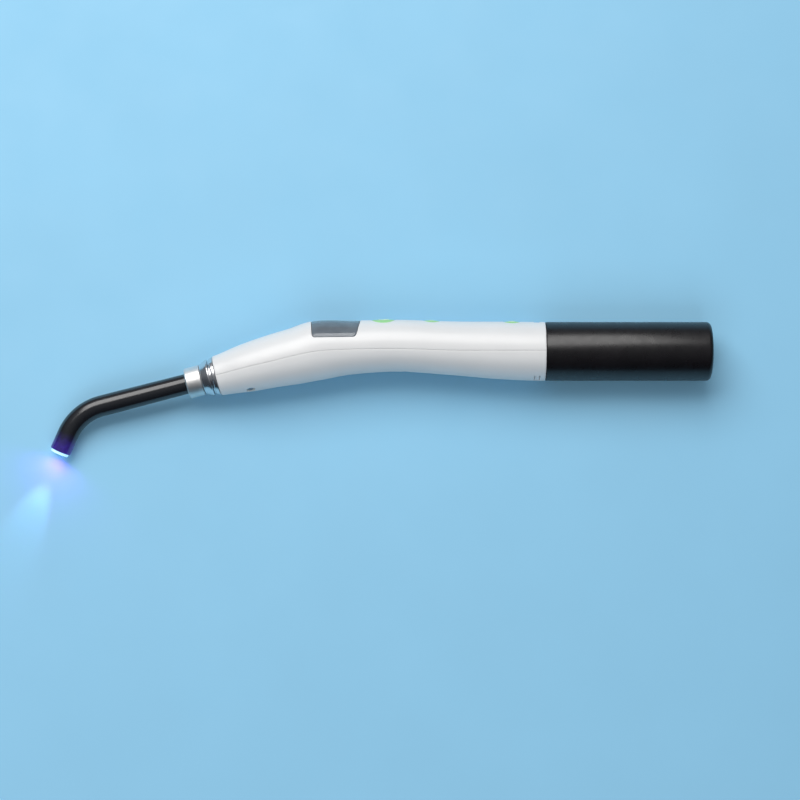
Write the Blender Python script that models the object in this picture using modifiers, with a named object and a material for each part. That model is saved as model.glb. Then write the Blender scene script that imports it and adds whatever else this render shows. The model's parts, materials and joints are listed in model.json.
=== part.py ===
"""Cordless dental curing light: a wand with a bent light guide, a two-part handle and a plug-on battery.

Everything is modelled in the tool's own frame: X runs along the battery towards its end cap, Z points out
of the keypad, and the origin is where the battery's axis crosses the joint between handle and battery.
The whole tool hangs from one empty, which lays it on its side on the plane Z = 0.
"""

import math

import bmesh
import bpy
from mathutils import Vector

MM = 0.001
GAP = 0.25 * MM  # clearance between pieces that meet

# Driving dimensions
BATTERY_RADIUS = 12.8 * MM
BATTERY_LENGTH = 72.0 * MM
HANDLE_LENGTH = 142.6 * MM
NOSE_DROP = 10.7 * MM  # how far the nose lies below the battery's axis
NOSE_TILT = math.radians(14.5)  # the light guide's axis below the battery's axis
WALL = 1.6 * MM
GUIDE_REACH = 62.7 * MM  # nose face to the corner of the bend
GUIDE_BEND = math.radians(51.2)
BEND_RADIUS = 22.0 * MM
TIP_LENGTH = 18.7 * MM  # corner of the bend to the exit face
JACKET_RADIUS_NOSE = 4.3 * MM
JACKET_RADIUS_TIP = 4.6 * MM
JACKET_WALL = 0.55 * MM
ROD_PROUD = 1.2 * MM  # the fibre rod stands out of its jacket at the exit
LYING_ROLL = math.radians(11.0)  # at this roll the guide's tip and the handle both rest on the surface
BUTTON_TRAVEL = 0.5 * MM

# The handle's sections from rear to nose: x, height of the spine, half height, half width, and how far the
# parting line lies above the spine
HANDLE_SECTIONS = [
    (0.0, 0.0, 12.8, 12.8, 0.6),
    (-20.0, 0.45, 12.5, 12.6, 0.15),
    (-40.0, 1.35, 11.7, 12.2, -0.7),
    (-64.0, 2.45, 11.3, 11.9, -1.1),
    (-84.0, 1.7, 11.75, 12.1, -0.6),
    (-98.0, 0.55, 12.95, 12.4, -0.2),
    (-108.0, -1.95, 12.3, 12.4, 0.4),
    (-118.0, -4.2, 11.55, 11.95, 0.2),
    (-130.0, -7.3, 10.5, 11.0, 0.45),
    (-142.6, -10.7, 8.75, 8.75, 0.5),
]
NOSE_TAPER = 0.067  # how fast the handle's radius grows behind the nose face

ROUND_STEPS = 32
SMALL_STEPS = 12
SHELL_STEPS = 14  # faces round each half shell
SHELL_STATIONS = 26  # faces along each half shell

LCD_FRONT = -101.0 * MM  # the display opening, measured at its two side edges
LCD_REAR = -81.8 * MM
LCD_HALF_WIDTH = 11.0 * MM
LCD_FRONT_BULGE = 0.6 * MM  # its ends bow outwards by this much in the middle
LCD_REAR_BULGE = 1.7 * MM
LCD_LEDGE = 5.5 * MM  # height of the ledge under the window's long edges
LCD_CENTRE = -91.0 * MM
BOARD_TOP = 3.6 * MM
BOARD_THICKNESS = 1.2 * MM
BUTTONS = {"power": (-70.2 * MM, 5.0 * MM), "mode": (-49.2 * MM, 3.5 * MM), "timer": (-14.4 * MM, 3.5 * MM)}
SEAT = 0.05 * MM  # clearance under pieces that are soldered or screwed down
FRONT_SCREW_ANGLE = math.radians(25)  # from the handle's underside, on either side
MIDDLE_SCREW_X = -60.5 * MM
SNAP_X = -3.6 * MM
SNAP_ANGLE = math.radians(24)
CELL_RADIUS = 9.2 * MM
CELL_LENGTH = 65.0 * MM


# ---------------------------------------------------------------- scene and materials

def clear_scene():
    for obj in list(bpy.data.objects):
        bpy.data.objects.remove(obj)


def new_collection(name):
    collection = bpy.data.collections.new(name)
    bpy.context.scene.collection.children.link(collection)
    return collection


def material(name, color, roughness=0.5, metallic=0.0):
    made = bpy.data.materials.new(name)
    made.use_nodes = True
    shader = made.node_tree.nodes["Principled BSDF"]
    shader.inputs["Base Color"].default_value = (*color, 1.0)
    shader.inputs["Roughness"].default_value = roughness
    shader.inputs["Metallic"].default_value = metallic
    made.diffuse_color = (*color, 1.0)
    return made


clear_scene()
PARTS = new_collection("curing_light")
CUTTERS = new_collection("cutters")

WHITE = material("white_housing", (0.86, 0.86, 0.87), 0.35)
BLACK = material("black_housing", (0.02, 0.02, 0.023), 0.4)
GUIDE_BLACK = material("guide_black", (0.015, 0.015, 0.018), 0.2)
SATIN = material("satin_aluminium", (0.75, 0.75, 0.76), 0.35, 1.0)
STEEL = material("polished_steel", (0.6, 0.6, 0.62), 0.12, 1.0)
GLASS = material("fibre_glass", (0.35, 0.7, 1.0), 0.05)
SMOKED = material("smoked_window", (0.1, 0.13, 0.16), 0.1)
LCD_GREY = material("lcd_glass", (0.3, 0.35, 0.33), 0.2)
GREEN = material("keypad_green", (0.35, 0.75, 0.2), 0.5)
BOARD_GREEN = material("circuit_board", (0.02, 0.2, 0.08), 0.5)
CHIP = material("chip_plastic", (0.03, 0.03, 0.03), 0.6)
RUBBER = material("seal_rubber", (0.03, 0.03, 0.03), 0.8)
GOLD = material("contact_gold", (0.9, 0.65, 0.25), 0.25, 1.0)
CERAMIC = material("led_ceramic", (0.9, 0.85, 0.5), 0.5)
CELL_WRAP = material("cell_wrap", (0.05, 0.2, 0.55), 0.4)
WIRE_RED = material("wire_red", (0.6, 0.03, 0.03), 0.5)
FOAM = material("foam", (0.2, 0.2, 0.2), 0.9)


# ---------------------------------------------------------------- frames

def empty(name, location=(0, 0, 0), rotation=(0, 0, 0), parent=None):
    made = bpy.data.objects.new(name, None)
    PARTS.objects.link(made)
    made.location = location
    made.rotation_euler = rotation
    made.parent = parent
    return made


TOOL = empty("tool_frame", rotation=(LYING_ROLL - math.pi / 2, 0, 0))
# Local +Z leaves the nose along the light guide, and local X stays in the tool's middle plane.
NOSE = empty("nose_axis", (-HANDLE_LENGTH, 0, -NOSE_DROP), (0, -math.pi / 2 - NOSE_TILT, 0), TOOL)
# Local +Z runs along the battery towards its end cap.
BATTERY = empty("battery_axis", rotation=(0, math.pi / 2, 0), parent=TOOL)


# ---------------------------------------------------------------- modelling helpers

def place(name, mesh, parent, mat, location=(0, 0, 0), rotation=(0, 0, 0), cutter=False):
    obj = bpy.data.objects.new(name, mesh)
    (CUTTERS if cutter else PARTS).objects.link(obj)
    obj.location = location
    obj.rotation_euler = rotation
    obj.parent = parent
    if mat is not None:
        mesh.materials.append(mat)
    if cutter:
        obj.hide_render = True
        obj.display_type = "WIRE"
    return obj


def smooth(mesh, angle=35):
    mesh.shade_smooth()
    mesh.set_sharp_from_angle(angle=math.radians(angle))


def turned(
    name, profile, parent, mat, location=(0, 0, 0), rotation=(0, 0, 0), steps=ROUND_STEPS, cutter=False
):
    """A turned piece about local Z. The profile's (radius, z) points run down the outer side, top to bottom.
    A profile that starts and ends on the axis is solid; any other is closed into a ring. A cutter is turned
    a little about its axis, so that its edges never run into those of the piece it cuts."""
    mesh = bpy.data.meshes.new(name)
    start = 0.11 if cutter else 0.0
    points = [(radius * math.cos(start), radius * math.sin(start), z) for radius, z in profile]
    edges = [(i, i + 1) for i in range(len(points) - 1)]
    if profile[0][0] > 0:
        edges.append((len(points) - 1, 0))
    mesh.from_pydata(points, edges, [])
    obj = place(name, mesh, parent, mat, location, rotation, cutter)
    screw = obj.modifiers.new("turn", "SCREW")
    screw.steps = screw.render_steps = steps
    screw.use_merge_vertices = True
    screw.merge_threshold = 0.00001
    screw.use_smooth_shade = False
    return obj


def ring(outer, inner, low, high, chamfer=0.0):
    """Profile of a plain ring, with its outer edges broken by a chamfer."""
    if chamfer == 0.0:
        return [(outer, high), (outer, low), (inner, low), (inner, high)]
    return [
        (outer - chamfer, high),
        (outer, high - chamfer),
        (outer, low + chamfer),
        (outer - chamfer, low),
        (inner, low),
        (inner, high),
    ]


def disc(radius, low, high, chamfer=0.0):
    """Profile of a solid disc or rod."""
    if chamfer == 0.0:
        return [(0, high), (radius, high), (radius, low), (0, low)]
    edge = radius - chamfer
    return [(0, high), (edge, high), (radius, high - chamfer), (radius, low + chamfer), (edge, low), (0, low)]


def box(name, size, parent, mat, location=(0, 0, 0), rotation=(0, 0, 0), bevel=0.0, cutter=False):
    mesh = bpy.data.meshes.new(name)
    shape = bmesh.new()
    bmesh.ops.create_cube(shape, size=1.0)
    bmesh.ops.scale(shape, vec=size, verts=shape.verts)
    shape.to_mesh(mesh)
    shape.free()
    obj = place(name, mesh, parent, mat, location, rotation, cutter)
    if bevel:
        rounding = obj.modifiers.new("rounding", "BEVEL")
        rounding.width = bevel
        rounding.segments = 2
    return obj


def boolean(obj, other, operation="DIFFERENCE"):
    modifier = obj.modifiers.new(operation.lower() + "_" + other.name, "BOOLEAN")
    modifier.object = other
    modifier.operation = operation
    modifier.solver = "EXACT"
    return obj


def boolean_all(obj, others, operation="DIFFERENCE"):
    """One Boolean with several cutters at once."""
    group = bpy.data.collections.new(obj.name + "_" + operation.lower())
    CUTTERS.children.link(group)
    for other in others:
        CUTTERS.objects.unlink(other)
        group.objects.link(other)
    modifier = obj.modifiers.new(operation.lower(), "BOOLEAN")
    modifier.operand_type = "COLLECTION"
    modifier.collection = group
    modifier.operation = operation
    modifier.solver = "EXACT"
    return obj


def sweep(name, points, radii, parent, mat, resolution=3, cutter=False):
    """A round rod along the points, whose radius may change from end to end."""
    curve = bpy.data.curves.new(name, "CURVE")
    curve.dimensions = "3D"
    curve.bevel_depth = 1.0
    curve.bevel_resolution = resolution
    curve.use_fill_caps = True
    curve.twist_mode = "MINIMUM"
    spline = curve.splines.new("POLY")
    spline.points.add(len(points) - 1)
    for point, place_at, radius in zip(spline.points, points, radii):
        point.co = (*place_at, 1.0)
        point.radius = radius
    guide = bpy.data.objects.new(name + "_curve", curve)
    PARTS.objects.link(guide)
    mesh = bpy.data.meshes.new_from_object(guide.evaluated_get(bpy.context.evaluated_depsgraph_get()))
    bpy.data.objects.remove(guide)
    shape = bmesh.new()
    shape.from_mesh(mesh)
    bmesh.ops.remove_doubles(shape, verts=shape.verts, dist=0.000001)
    shape.to_mesh(mesh)
    shape.free()
    mesh.materials.clear()
    return place(name, mesh, parent, mat, cutter=cutter)


# ---------------------------------------------------------------- the handle's outer surface

def handle_section(x):
    """The section at x: height and slope of the spine, half height, half width, rise of the parting line."""
    x_mm = max(min(x / MM, HANDLE_SECTIONS[0][0]), HANDLE_SECTIONS[-1][0])
    last = len(HANDLE_SECTIONS) - 1
    k = next(i for i in range(last) if x_mm >= HANDLE_SECTIONS[i + 1][0])
    first, second = HANDLE_SECTIONS[k], HANDLE_SECTIONS[k + 1]
    span = second[0] - first[0]
    t = (x_mm - first[0]) / span

    def tangent(i, column):
        if i == 0:
            return 0.0
        if i == last:
            return {1: math.tan(NOSE_TILT), 4: 0.0}.get(column, NOSE_TAPER)
        before, after = HANDLE_SECTIONS[i - 1], HANDLE_SECTIONS[i + 1]
        return (after[column] - before[column]) / (after[0] - before[0])

    values = []
    slope = 0.0
    for column in (1, 2, 3, 4):
        p0, p1 = first[column], second[column]
        m0, m1 = tangent(k, column) * span, tangent(k + 1, column) * span
        value = (
            p0 * (2 * t**3 - 3 * t**2 + 1)
            + m0 * (t**3 - 2 * t**2 + t)
            + p1 * (3 * t**2 - 2 * t**3)
            + m1 * (t**3 - t**2)
        )
        values.append(value * MM)
        if column == 1:
            rise = (p1 - p0) * (6 * t - 6 * t**2) + m0 * (3 * t**2 - 4 * t + 1) + m1 * (3 * t**2 - 2 * t)
            slope = rise / span
    return values[0], slope, values[1], values[2], values[3]


def handle_top(x):
    spine, _, half_height, _, _ = handle_section(x)
    return spine + half_height


def handle_bottom(x):
    spine, _, half_height, _, _ = handle_section(x)
    return spine - half_height


def half_ring(x, upper, inset):
    """Points round the upper or lower half of the section at x, from one parting edge to the other."""
    spine, slope, half_height, half_width, rise = handle_section(x)
    length = math.hypot(1.0, slope)
    across = Vector((-slope / length, 0, 1 / length))
    height, width = half_height - inset, half_width - inset
    if upper:
        start = math.asin((rise + GAP / 2) / height)
        turn = math.pi - 2 * start
    else:
        start = math.pi - math.asin((rise - GAP / 2) / height)
        turn = 3 * math.pi - 2 * start
    points = []
    for j in range(SHELL_STEPS + 1):
        angle = start + turn * j / SHELL_STEPS
        points.append(Vector((x, width * math.cos(angle), spine)) + across * (height * math.sin(angle)))
    return points


def half_shell(name, mat, upper, x_from, x_to, stations, inset=0.0, wall=WALL):
    """The upper or lower half of the handle between two stations, with its parting faces level."""
    shape = bmesh.new()
    loops = []
    for i in range(stations + 1):
        x = x_from + (x_to - x_from) * i / stations
        outer = half_ring(x, upper, inset)
        inner = half_ring(x, upper, inset + wall)
        loops.append([shape.verts.new(point) for point in outer + list(reversed(inner))])
    count = len(loops[0])
    for rear, front in zip(loops, loops[1:]):
        for j in range(count):
            k = (j + 1) % count
            shape.faces.new((rear[j], rear[k], front[k], front[j]))
    for loop in (loops[0], loops[-1]):
        for j in range(SHELL_STEPS):
            shape.faces.new((loop[j], loop[j + 1], loop[count - 2 - j], loop[count - 1 - j]))
    bmesh.ops.recalc_face_normals(shape, faces=shape.faces)
    mesh = bpy.data.meshes.new(name)
    shape.to_mesh(mesh)
    shape.free()
    smooth(mesh)
    return place(name, mesh, TOOL, mat)


def drill(name, radius, low, high, parent, location, rotation=(0, 0, 0), steps=24):
    return turned(name, disc(radius, low, high), parent, None, location, rotation, steps, cutter=True)


# ---------------------------------------------------------------- light guide

NOSE_CENTRE = Vector((-HANDLE_LENGTH, 0, -NOSE_DROP))
NOSE_DIRECTION = Vector((-math.cos(NOSE_TILT), 0, -math.sin(NOSE_TILT)))


def guide_path(start, overshoot=0.0):
    """Points of the light guide's axis, from a place along the nose axis to the exit face."""
    along = NOSE_DIRECTION
    tangent_length = BEND_RADIUS * math.tan(GUIDE_BEND / 2)
    bend_start = NOSE_CENTRE + along * (GUIDE_REACH - tangent_length)
    inwards = Vector((math.sin(NOSE_TILT), 0, -math.cos(NOSE_TILT)))
    centre = bend_start + inwards * BEND_RADIUS
    steps = 9
    straight = (start, FERRULE_REAR + 1.5 * MM, GUIDE_REACH * 0.4)
    points = [NOSE_CENTRE + along * place_at for place_at in straight]
    for i in range(steps + 1):
        angle = NOSE_TILT + GUIDE_BEND * i / steps
        points.append(centre - Vector((math.sin(angle), 0, -math.cos(angle))) * BEND_RADIUS)
    final = NOSE_TILT + GUIDE_BEND
    tip_direction = Vector((-math.cos(final), 0, -math.sin(final)))
    points.append(points[-1] + tip_direction * (TIP_LENGTH - tangent_length + overshoot))
    return points


def guide_radii(points, inset):
    """The jacket widens from the nose to the bend and stays even to the tip."""
    radii = []
    for point in points:
        share = min(1.0, max(0.0, (point - NOSE_CENTRE).dot(NOSE_DIRECTION) / (GUIDE_REACH * 0.75)))
        radii.append(JACKET_RADIUS_NOSE + (JACKET_RADIUS_TIP - JACKET_RADIUS_NOSE) * share - inset)
    return radii


FERRULE_REAR = 6.7 * MM
FERRULE_FRONT = 13.5 * MM
STEM_REAR = -13.7 * MM
STEM_RADIUS = 5.2 * MM
SOCKET_RADIUS = 5.5 * MM
NOSE_RING_REAR = -14.5 * MM
SCREW_FLANGE_AT = -13.1 * MM


def build_light_guide():
    jacket_path = guide_path(FERRULE_REAR + 0.9 * MM)
    jacket = sweep("guide_jacket", jacket_path, guide_radii(jacket_path, 0.0), TOOL, GUIDE_BLACK, 8)
    bore_path = guide_path(FERRULE_REAR, overshoot=1.0 * MM)
    bore_radii = guide_radii(bore_path, JACKET_WALL)
    boolean(jacket, sweep("jacket_bore", bore_path, bore_radii, TOOL, None, 8, cutter=True))
    chamfer = 0.3 * MM
    rod_path = guide_path(STEM_REAR + 0.2 * MM, overshoot=ROD_PROUD - chamfer)
    rod_radii = guide_radii(rod_path, JACKET_WALL + 0.12 * MM)
    rod_path.append(rod_path[-1] + (rod_path[-1] - rod_path[-2]).normalized() * chamfer)
    rod_radii.append(rod_radii[-1] - chamfer)
    sweep("fibre_rod", rod_path, rod_radii, TOOL, GLASS, 6)

    turned(
        "guide_ferrule",
        [
            (6.25 * MM, FERRULE_FRONT),
            (6.65 * MM, FERRULE_FRONT - 0.4 * MM),
            (6.65 * MM, FERRULE_REAR),
            (4.6 * MM, FERRULE_REAR),
            (4.6 * MM, FERRULE_FRONT),
        ],
        NOSE,
        SATIN,
    )
    turned(
        "guide_collar",
        [
            (6.6 * MM, 6.5 * MM),
            (6.75 * MM, 6.1 * MM),
            (7.05 * MM, 5.5 * MM),
            (7.45 * MM, 4.8 * MM),
            (7.8 * MM, 4.1 * MM),
            (8.05 * MM, 3.5 * MM),
            (8.2 * MM, 3.0 * MM),
            (8.0 * MM, 2.7 * MM),
            (5.4 * MM, 2.7 * MM),
            (5.4 * MM, 6.5 * MM),
        ],
        NOSE,
        STEEL,
    )
    turned(
        "guide_stem",
        [
            (STEM_RADIUS, 6.45 * MM),
            (STEM_RADIUS, 2.0 * MM),
            (4.6 * MM, 2.0 * MM),
            (4.6 * MM, 0.6 * MM),
            (STEM_RADIUS, 0.6 * MM),
            (STEM_RADIUS, -2.7 * MM),
            (4.6 * MM, -2.7 * MM),
            (4.6 * MM, -3.7 * MM),
            (STEM_RADIUS, -3.7 * MM),
            (STEM_RADIUS, STEM_REAR),
            (3.8 * MM, STEM_REAR),
            (3.8 * MM, 6.45 * MM),
        ],
        NOSE,
        STEEL,
    )
    turned(
        "stem_o_ring",
        [
            (5.15 * MM, 1.75 * MM),
            (5.4 * MM, 1.3 * MM),
            (5.15 * MM, 0.85 * MM),
            (4.75 * MM, 0.95 * MM),
            (4.75 * MM, 1.65 * MM),
        ],
        NOSE,
        RUBBER,
    )
    turned("retaining_ring", ring(5.42 * MM, 4.75 * MM, -3.55 * MM, -2.85 * MM), NOSE, STEEL)


# ---------------------------------------------------------------- nose and light source

def nose_screw_rotation(side):
    direction = Vector((-math.cos(FRONT_SCREW_ANGLE), side * math.sin(FRONT_SCREW_ANGLE), 0))
    return direction.to_track_quat("Z", "Y").to_euler()


def build_nose():
    nose_ring = turned(
        "nose_ring",
        [
            (7.6 * MM, 2.4 * MM),
            (7.6 * MM, 1.9 * MM),
            (8.2 * MM, 1.7 * MM),
            (8.5 * MM, 0.25 * MM),
            (6.7 * MM, 0.25 * MM),
            (6.7 * MM, -4.0 * MM),
            (7.1 * MM, -4.0 * MM),
            (7.1 * MM, -5.2 * MM),
            (6.7 * MM, -5.2 * MM),
            (6.7 * MM, -11.0 * MM),
            (7.4 * MM, -11.0 * MM),
            (7.4 * MM, NOSE_RING_REAR),
            (SOCKET_RADIUS, NOSE_RING_REAR),
            (SOCKET_RADIUS, -3.8 * MM),
            (5.95 * MM, -3.8 * MM),
            (5.95 * MM, -2.6 * MM),
            (SOCKET_RADIUS, -2.6 * MM),
            (SOCKET_RADIUS, 2.4 * MM),
        ],
        NOSE,
        STEEL,
    )
    for side, label in ((-1, "near"), (1, "far")):
        turn = nose_screw_rotation(side)
        at = (0, 0, SCREW_FLANGE_AT)
        hole = drill("nose_hole_" + label, 1.05 * MM, 5.9 * MM, 9.0 * MM, NOSE, at, turn, 12)
        boolean(nose_ring, hole)
        turned(
            "nose_screw_" + label,
            [(0, 10.1 * MM), (1.4 * MM, 10.1 * MM), (1.6 * MM, 9.9 * MM), (1.6 * MM, 9.35 * MM),
             (0.8 * MM, 9.35 * MM), (0.8 * MM, 6.2 * MM), (0, 6.2 * MM)],
            NOSE, STEEL, at, turn, SMALL_STEPS,
        )

    turned("entry_window", disc(5.2 * MM, -14.4 * MM, -13.95 * MM), NOSE, GLASS)
    turned(
        "led_reflector",
        [(5.3 * MM, -14.8 * MM), (3.4 * MM, -19.0 * MM), (2.6 * MM, -19.0 * MM), (4.6 * MM, -14.8 * MM)],
        NOSE,
        STEEL,
    )
    dome_radius, dome_base = 1.5 * MM, -18.5 * MM
    dome = [
        (dome_radius * math.sin(math.radians(a)), dome_base + dome_radius * math.cos(math.radians(a)))
        for a in (0, 25, 50, 75, 90)
    ]
    turned("led_dome", dome + [(0, dome_base)], NOSE, GLASS, steps=SMALL_STEPS)
    box("led_emitter", (3.4 * MM, 3.4 * MM, 0.95 * MM), NOSE, CERAMIC, (0, 0, -19.1 * MM))
    led_board = turned("led_board", disc(7.0 * MM, -21.2 * MM, -19.7 * MM), NOSE, SATIN)
    heat_sink = turned("heat_sink", heat_sink_profile(), NOSE, SATIN, steps=24)
    for side, label in ((-1, "near"), (1, "far")):
        at = (0, side * 5.3 * MM, 0)
        hole = drill("led_screw_hole_" + label, 0.95 * MM, -25.0 * MM, -19.0 * MM, NOSE, at, steps=12)
        boolean(led_board, hole)
        boolean(heat_sink, hole)
        turned(
            "led_screw_" + label,
            [(0, -18.6 * MM), (1.3 * MM, -18.6 * MM), (1.3 * MM, -19.5 * MM),
             (0.75 * MM, -19.5 * MM), (0.75 * MM, -24.5 * MM), (0, -24.5 * MM)],
            NOSE, STEEL, at, steps=12,
        )


def heat_sink_profile():
    """A solid slug with turned cooling grooves."""
    front, fins, pitch, rim, core = -21.45 * MM, 4, 2.8 * MM, 7.0 * MM, 4.6 * MM
    groove_from = front - 4.5 * MM
    points = [(0, front), (rim, front)]
    for i in range(fins):
        top = groove_from - i * pitch
        points += [(rim, top), (core, top), (core, top - pitch / 2), (rim, top - pitch / 2)]
    end = groove_from - fins * pitch
    return points + [(rim, end), (0, end)]


# ---------------------------------------------------------------- handle shells and display

def prism(name, outline, low, high, mat=None, cutter=False):
    """A flat outline of (x, y) points, extruded along the tool's Z."""
    shape = bmesh.new()
    bottom = [shape.verts.new((x, y, low)) for x, y in outline]
    top = [shape.verts.new((x, y, high)) for x, y in outline]
    shape.faces.new(list(reversed(bottom)))
    shape.faces.new(top)
    count = len(outline)
    for i in range(count):
        shape.faces.new((bottom[i], bottom[(i + 1) % count], top[(i + 1) % count], top[i]))
    bmesh.ops.recalc_face_normals(shape, faces=shape.faces)
    mesh = bpy.data.meshes.new(name)
    shape.to_mesh(mesh)
    shape.free()
    return place(name, mesh, TOOL, mat, cutter=cutter)


def display_outline(inset):
    """Outline of the display opening: straight sides, bowed ends, and broken corners."""
    half = LCD_HALF_WIDTH - inset
    corner = 1.4 * MM
    steps = 6
    outline = []
    rear = (1, LCD_REAR_BULGE, LCD_REAR - inset)
    front = (-1, -LCD_FRONT_BULGE, LCD_FRONT + inset)
    for side, bulge, end in (rear, front):
        flat = half - corner
        outline.append((end - side * corner, -side * half))
        outline.append((end - side * 0.3 * corner, -side * (half - 0.3 * corner)))
        for i in range(steps + 1):
            y = -flat + 2 * flat * i / steps
            outline.append((end + bulge * (1 - (y / half) ** 2), side * y))
        outline.append((end - side * 0.3 * corner, side * (half - 0.3 * corner)))
        outline.append((end - side * corner, side * half))
    return outline


def nose_post(name, angle, radius, low, high, along):
    """A round post on the nose axis's radius; the angle is measured from the underside."""
    direction = Vector((-math.cos(angle), math.sin(angle), 0))
    turn = direction.to_track_quat("Z", "Y").to_euler()
    return drill(name, radius, low, high, NOSE, (0, 0, along), turn, SMALL_STEPS)


def upright(name, x, radius, low, high, steps=SMALL_STEPS):
    return drill(name, radius, low, high, TOOL, (x, 0, 0), steps=steps)


def snap_tongue(name, angle, length, width, inner, outer):
    """A block through the wall at the handle's rear end; the angle is measured from the top."""
    middle = (inner + outer) / 2
    at = (SNAP_X, -middle * math.sin(angle), middle * math.cos(angle))
    return box(name, (length, width, outer - inner), TOOL, None, at, (angle, 0, 0), cutter=True)


SNAPS = {"top": 0.0, "near": math.pi - SNAP_ANGLE, "far": math.pi + SNAP_ANGLE}


def build_shells():
    upper = half_shell("upper_shell", WHITE, True, 0.0, -HANDLE_LENGTH, SHELL_STATIONS)
    posts = [
        upright("mid_boss", MIDDLE_SCREW_X, 2.4 * MM, BOARD_TOP + 0.3 * MM, 12.6 * MM),
        nose_post("cradle_top", math.pi, 1.5 * MM, 7.15 * MM, 10.8 * MM, CRADLE_AT),
    ]
    boolean_all(upper, posts, "UNION")
    cuts = [
        prism("display_cut", display_outline(0.0), LCD_LEDGE, 20 * MM, cutter=True),
        snap_tongue("snap_cut_top", SNAPS["top"], 2.5 * MM, 4.8 * MM, 9 * MM, 15 * MM),
        upright("mid_boss_bore", MIDDLE_SCREW_X, 1.1 * MM, 2 * MM, 10 * MM),
    ]
    for name, (x, radius) in BUTTONS.items():
        cuts.append(upright(name + "_cut", x, radius + 0.3 * MM, 6 * MM, 20 * MM, 24))
    boolean_all(upper, cuts)

    lower = half_shell("lower_shell", WHITE, False, 0.0, -HANDLE_LENGTH, SHELL_STATIONS)
    base = handle_bottom(MIDDLE_SCREW_X) + WALL / 2
    posts = [upright("mid_pillar", MIDDLE_SCREW_X, 3.0 * MM, base, BOARD_BOTTOM - GAP)]
    cuts = [
        upright("mid_pillar_sink", MIDDLE_SCREW_X, 1.85 * MM, -12 * MM, MIDDLE_SEAT),
        upright("mid_pillar_bore", MIDDLE_SCREW_X, 1.1 * MM, MIDDLE_SEAT - 1 * MM, 4 * MM),
    ]
    for k, x in enumerate(BOARD_SCREWS):
        base = handle_bottom(x) + WALL / 2
        posts.append(upright("board_boss_%d" % k, x, 2.6 * MM, base, BOARD_BOTTOM - GAP))
        cuts.append(upright("board_bore_%d" % k, x, 0.95 * MM, BOARD_BOTTOM - 6.5 * MM, BOARD_BOTTOM))
    for side, label in ((-1, "near"), (1, "far")):
        angle = side * FRONT_SCREW_ANGLE
        cradle_angle = side * math.radians(40)
        posts.append(nose_post("front_boss_" + label, angle, 2.6 * MM, 7.65 * MM, 9.8 * MM, SCREW_FLANGE_AT))
        posts.append(nose_post("cradle_" + label, cradle_angle, 1.5 * MM, 7.15 * MM, 10.5 * MM, CRADLE_AT))
        cuts.append(nose_post("front_sink_" + label, angle, 1.85 * MM, 9.3 * MM, 13 * MM, SCREW_FLANGE_AT))
        cuts.append(nose_post("front_bore_" + label, angle, 1.05 * MM, 7 * MM, 9.6 * MM, SCREW_FLANGE_AT))
        cuts.append(snap_tongue("snap_cut_" + label, SNAPS[label], 2.5 * MM, 4.8 * MM, 9 * MM, 15 * MM))
    boolean_all(lower, posts, "UNION")
    boolean_all(lower, cuts)

    screw = [
        (0, 8.0 * MM),
        (0.85 * MM, 8.0 * MM),
        (0.85 * MM, MIDDLE_SEAT - SEAT),
        (1.6 * MM, MIDDLE_SEAT - SEAT),
        (1.6 * MM, MIDDLE_SEAT - 1.0 * MM),
        (1.4 * MM, MIDDLE_SEAT - 1.2 * MM),
        (0, MIDDLE_SEAT - 1.2 * MM),
    ]
    turned("middle_screw", screw, TOOL, STEEL, (MIDDLE_SCREW_X, 0, 0), steps=SMALL_STEPS)

    window = half_shell("display_window", SMOKED, True, -77 * MM, -106 * MM, 5, 0.15 * MM, 1.2 * MM)
    trim = prism("display_trim", display_outline(0.2 * MM), LCD_LEDGE + SEAT, 20 * MM, cutter=True)
    boolean(window, trim, "INTERSECT")


BOARD_BOTTOM = BOARD_TOP - BOARD_THICKNESS
BOARD_SCREWS = (-90.0 * MM, -24.0 * MM)
BOARD_FRONT, BOARD_REAR = -98.0 * MM, -11.6 * MM
BOARD_WIDTH = 16.0 * MM
CRADLE_AT = -23.7 * MM  # posts that hold the heat sink, measured along the nose axis
MIDDLE_SEAT = -4.0 * MM  # where the middle screw's head bears
SWITCH_HEIGHT = 3.5 * MM
PLUNGER_TOP = 8.0 * MM


# ---------------------------------------------------------------- electronics and keypad

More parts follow.
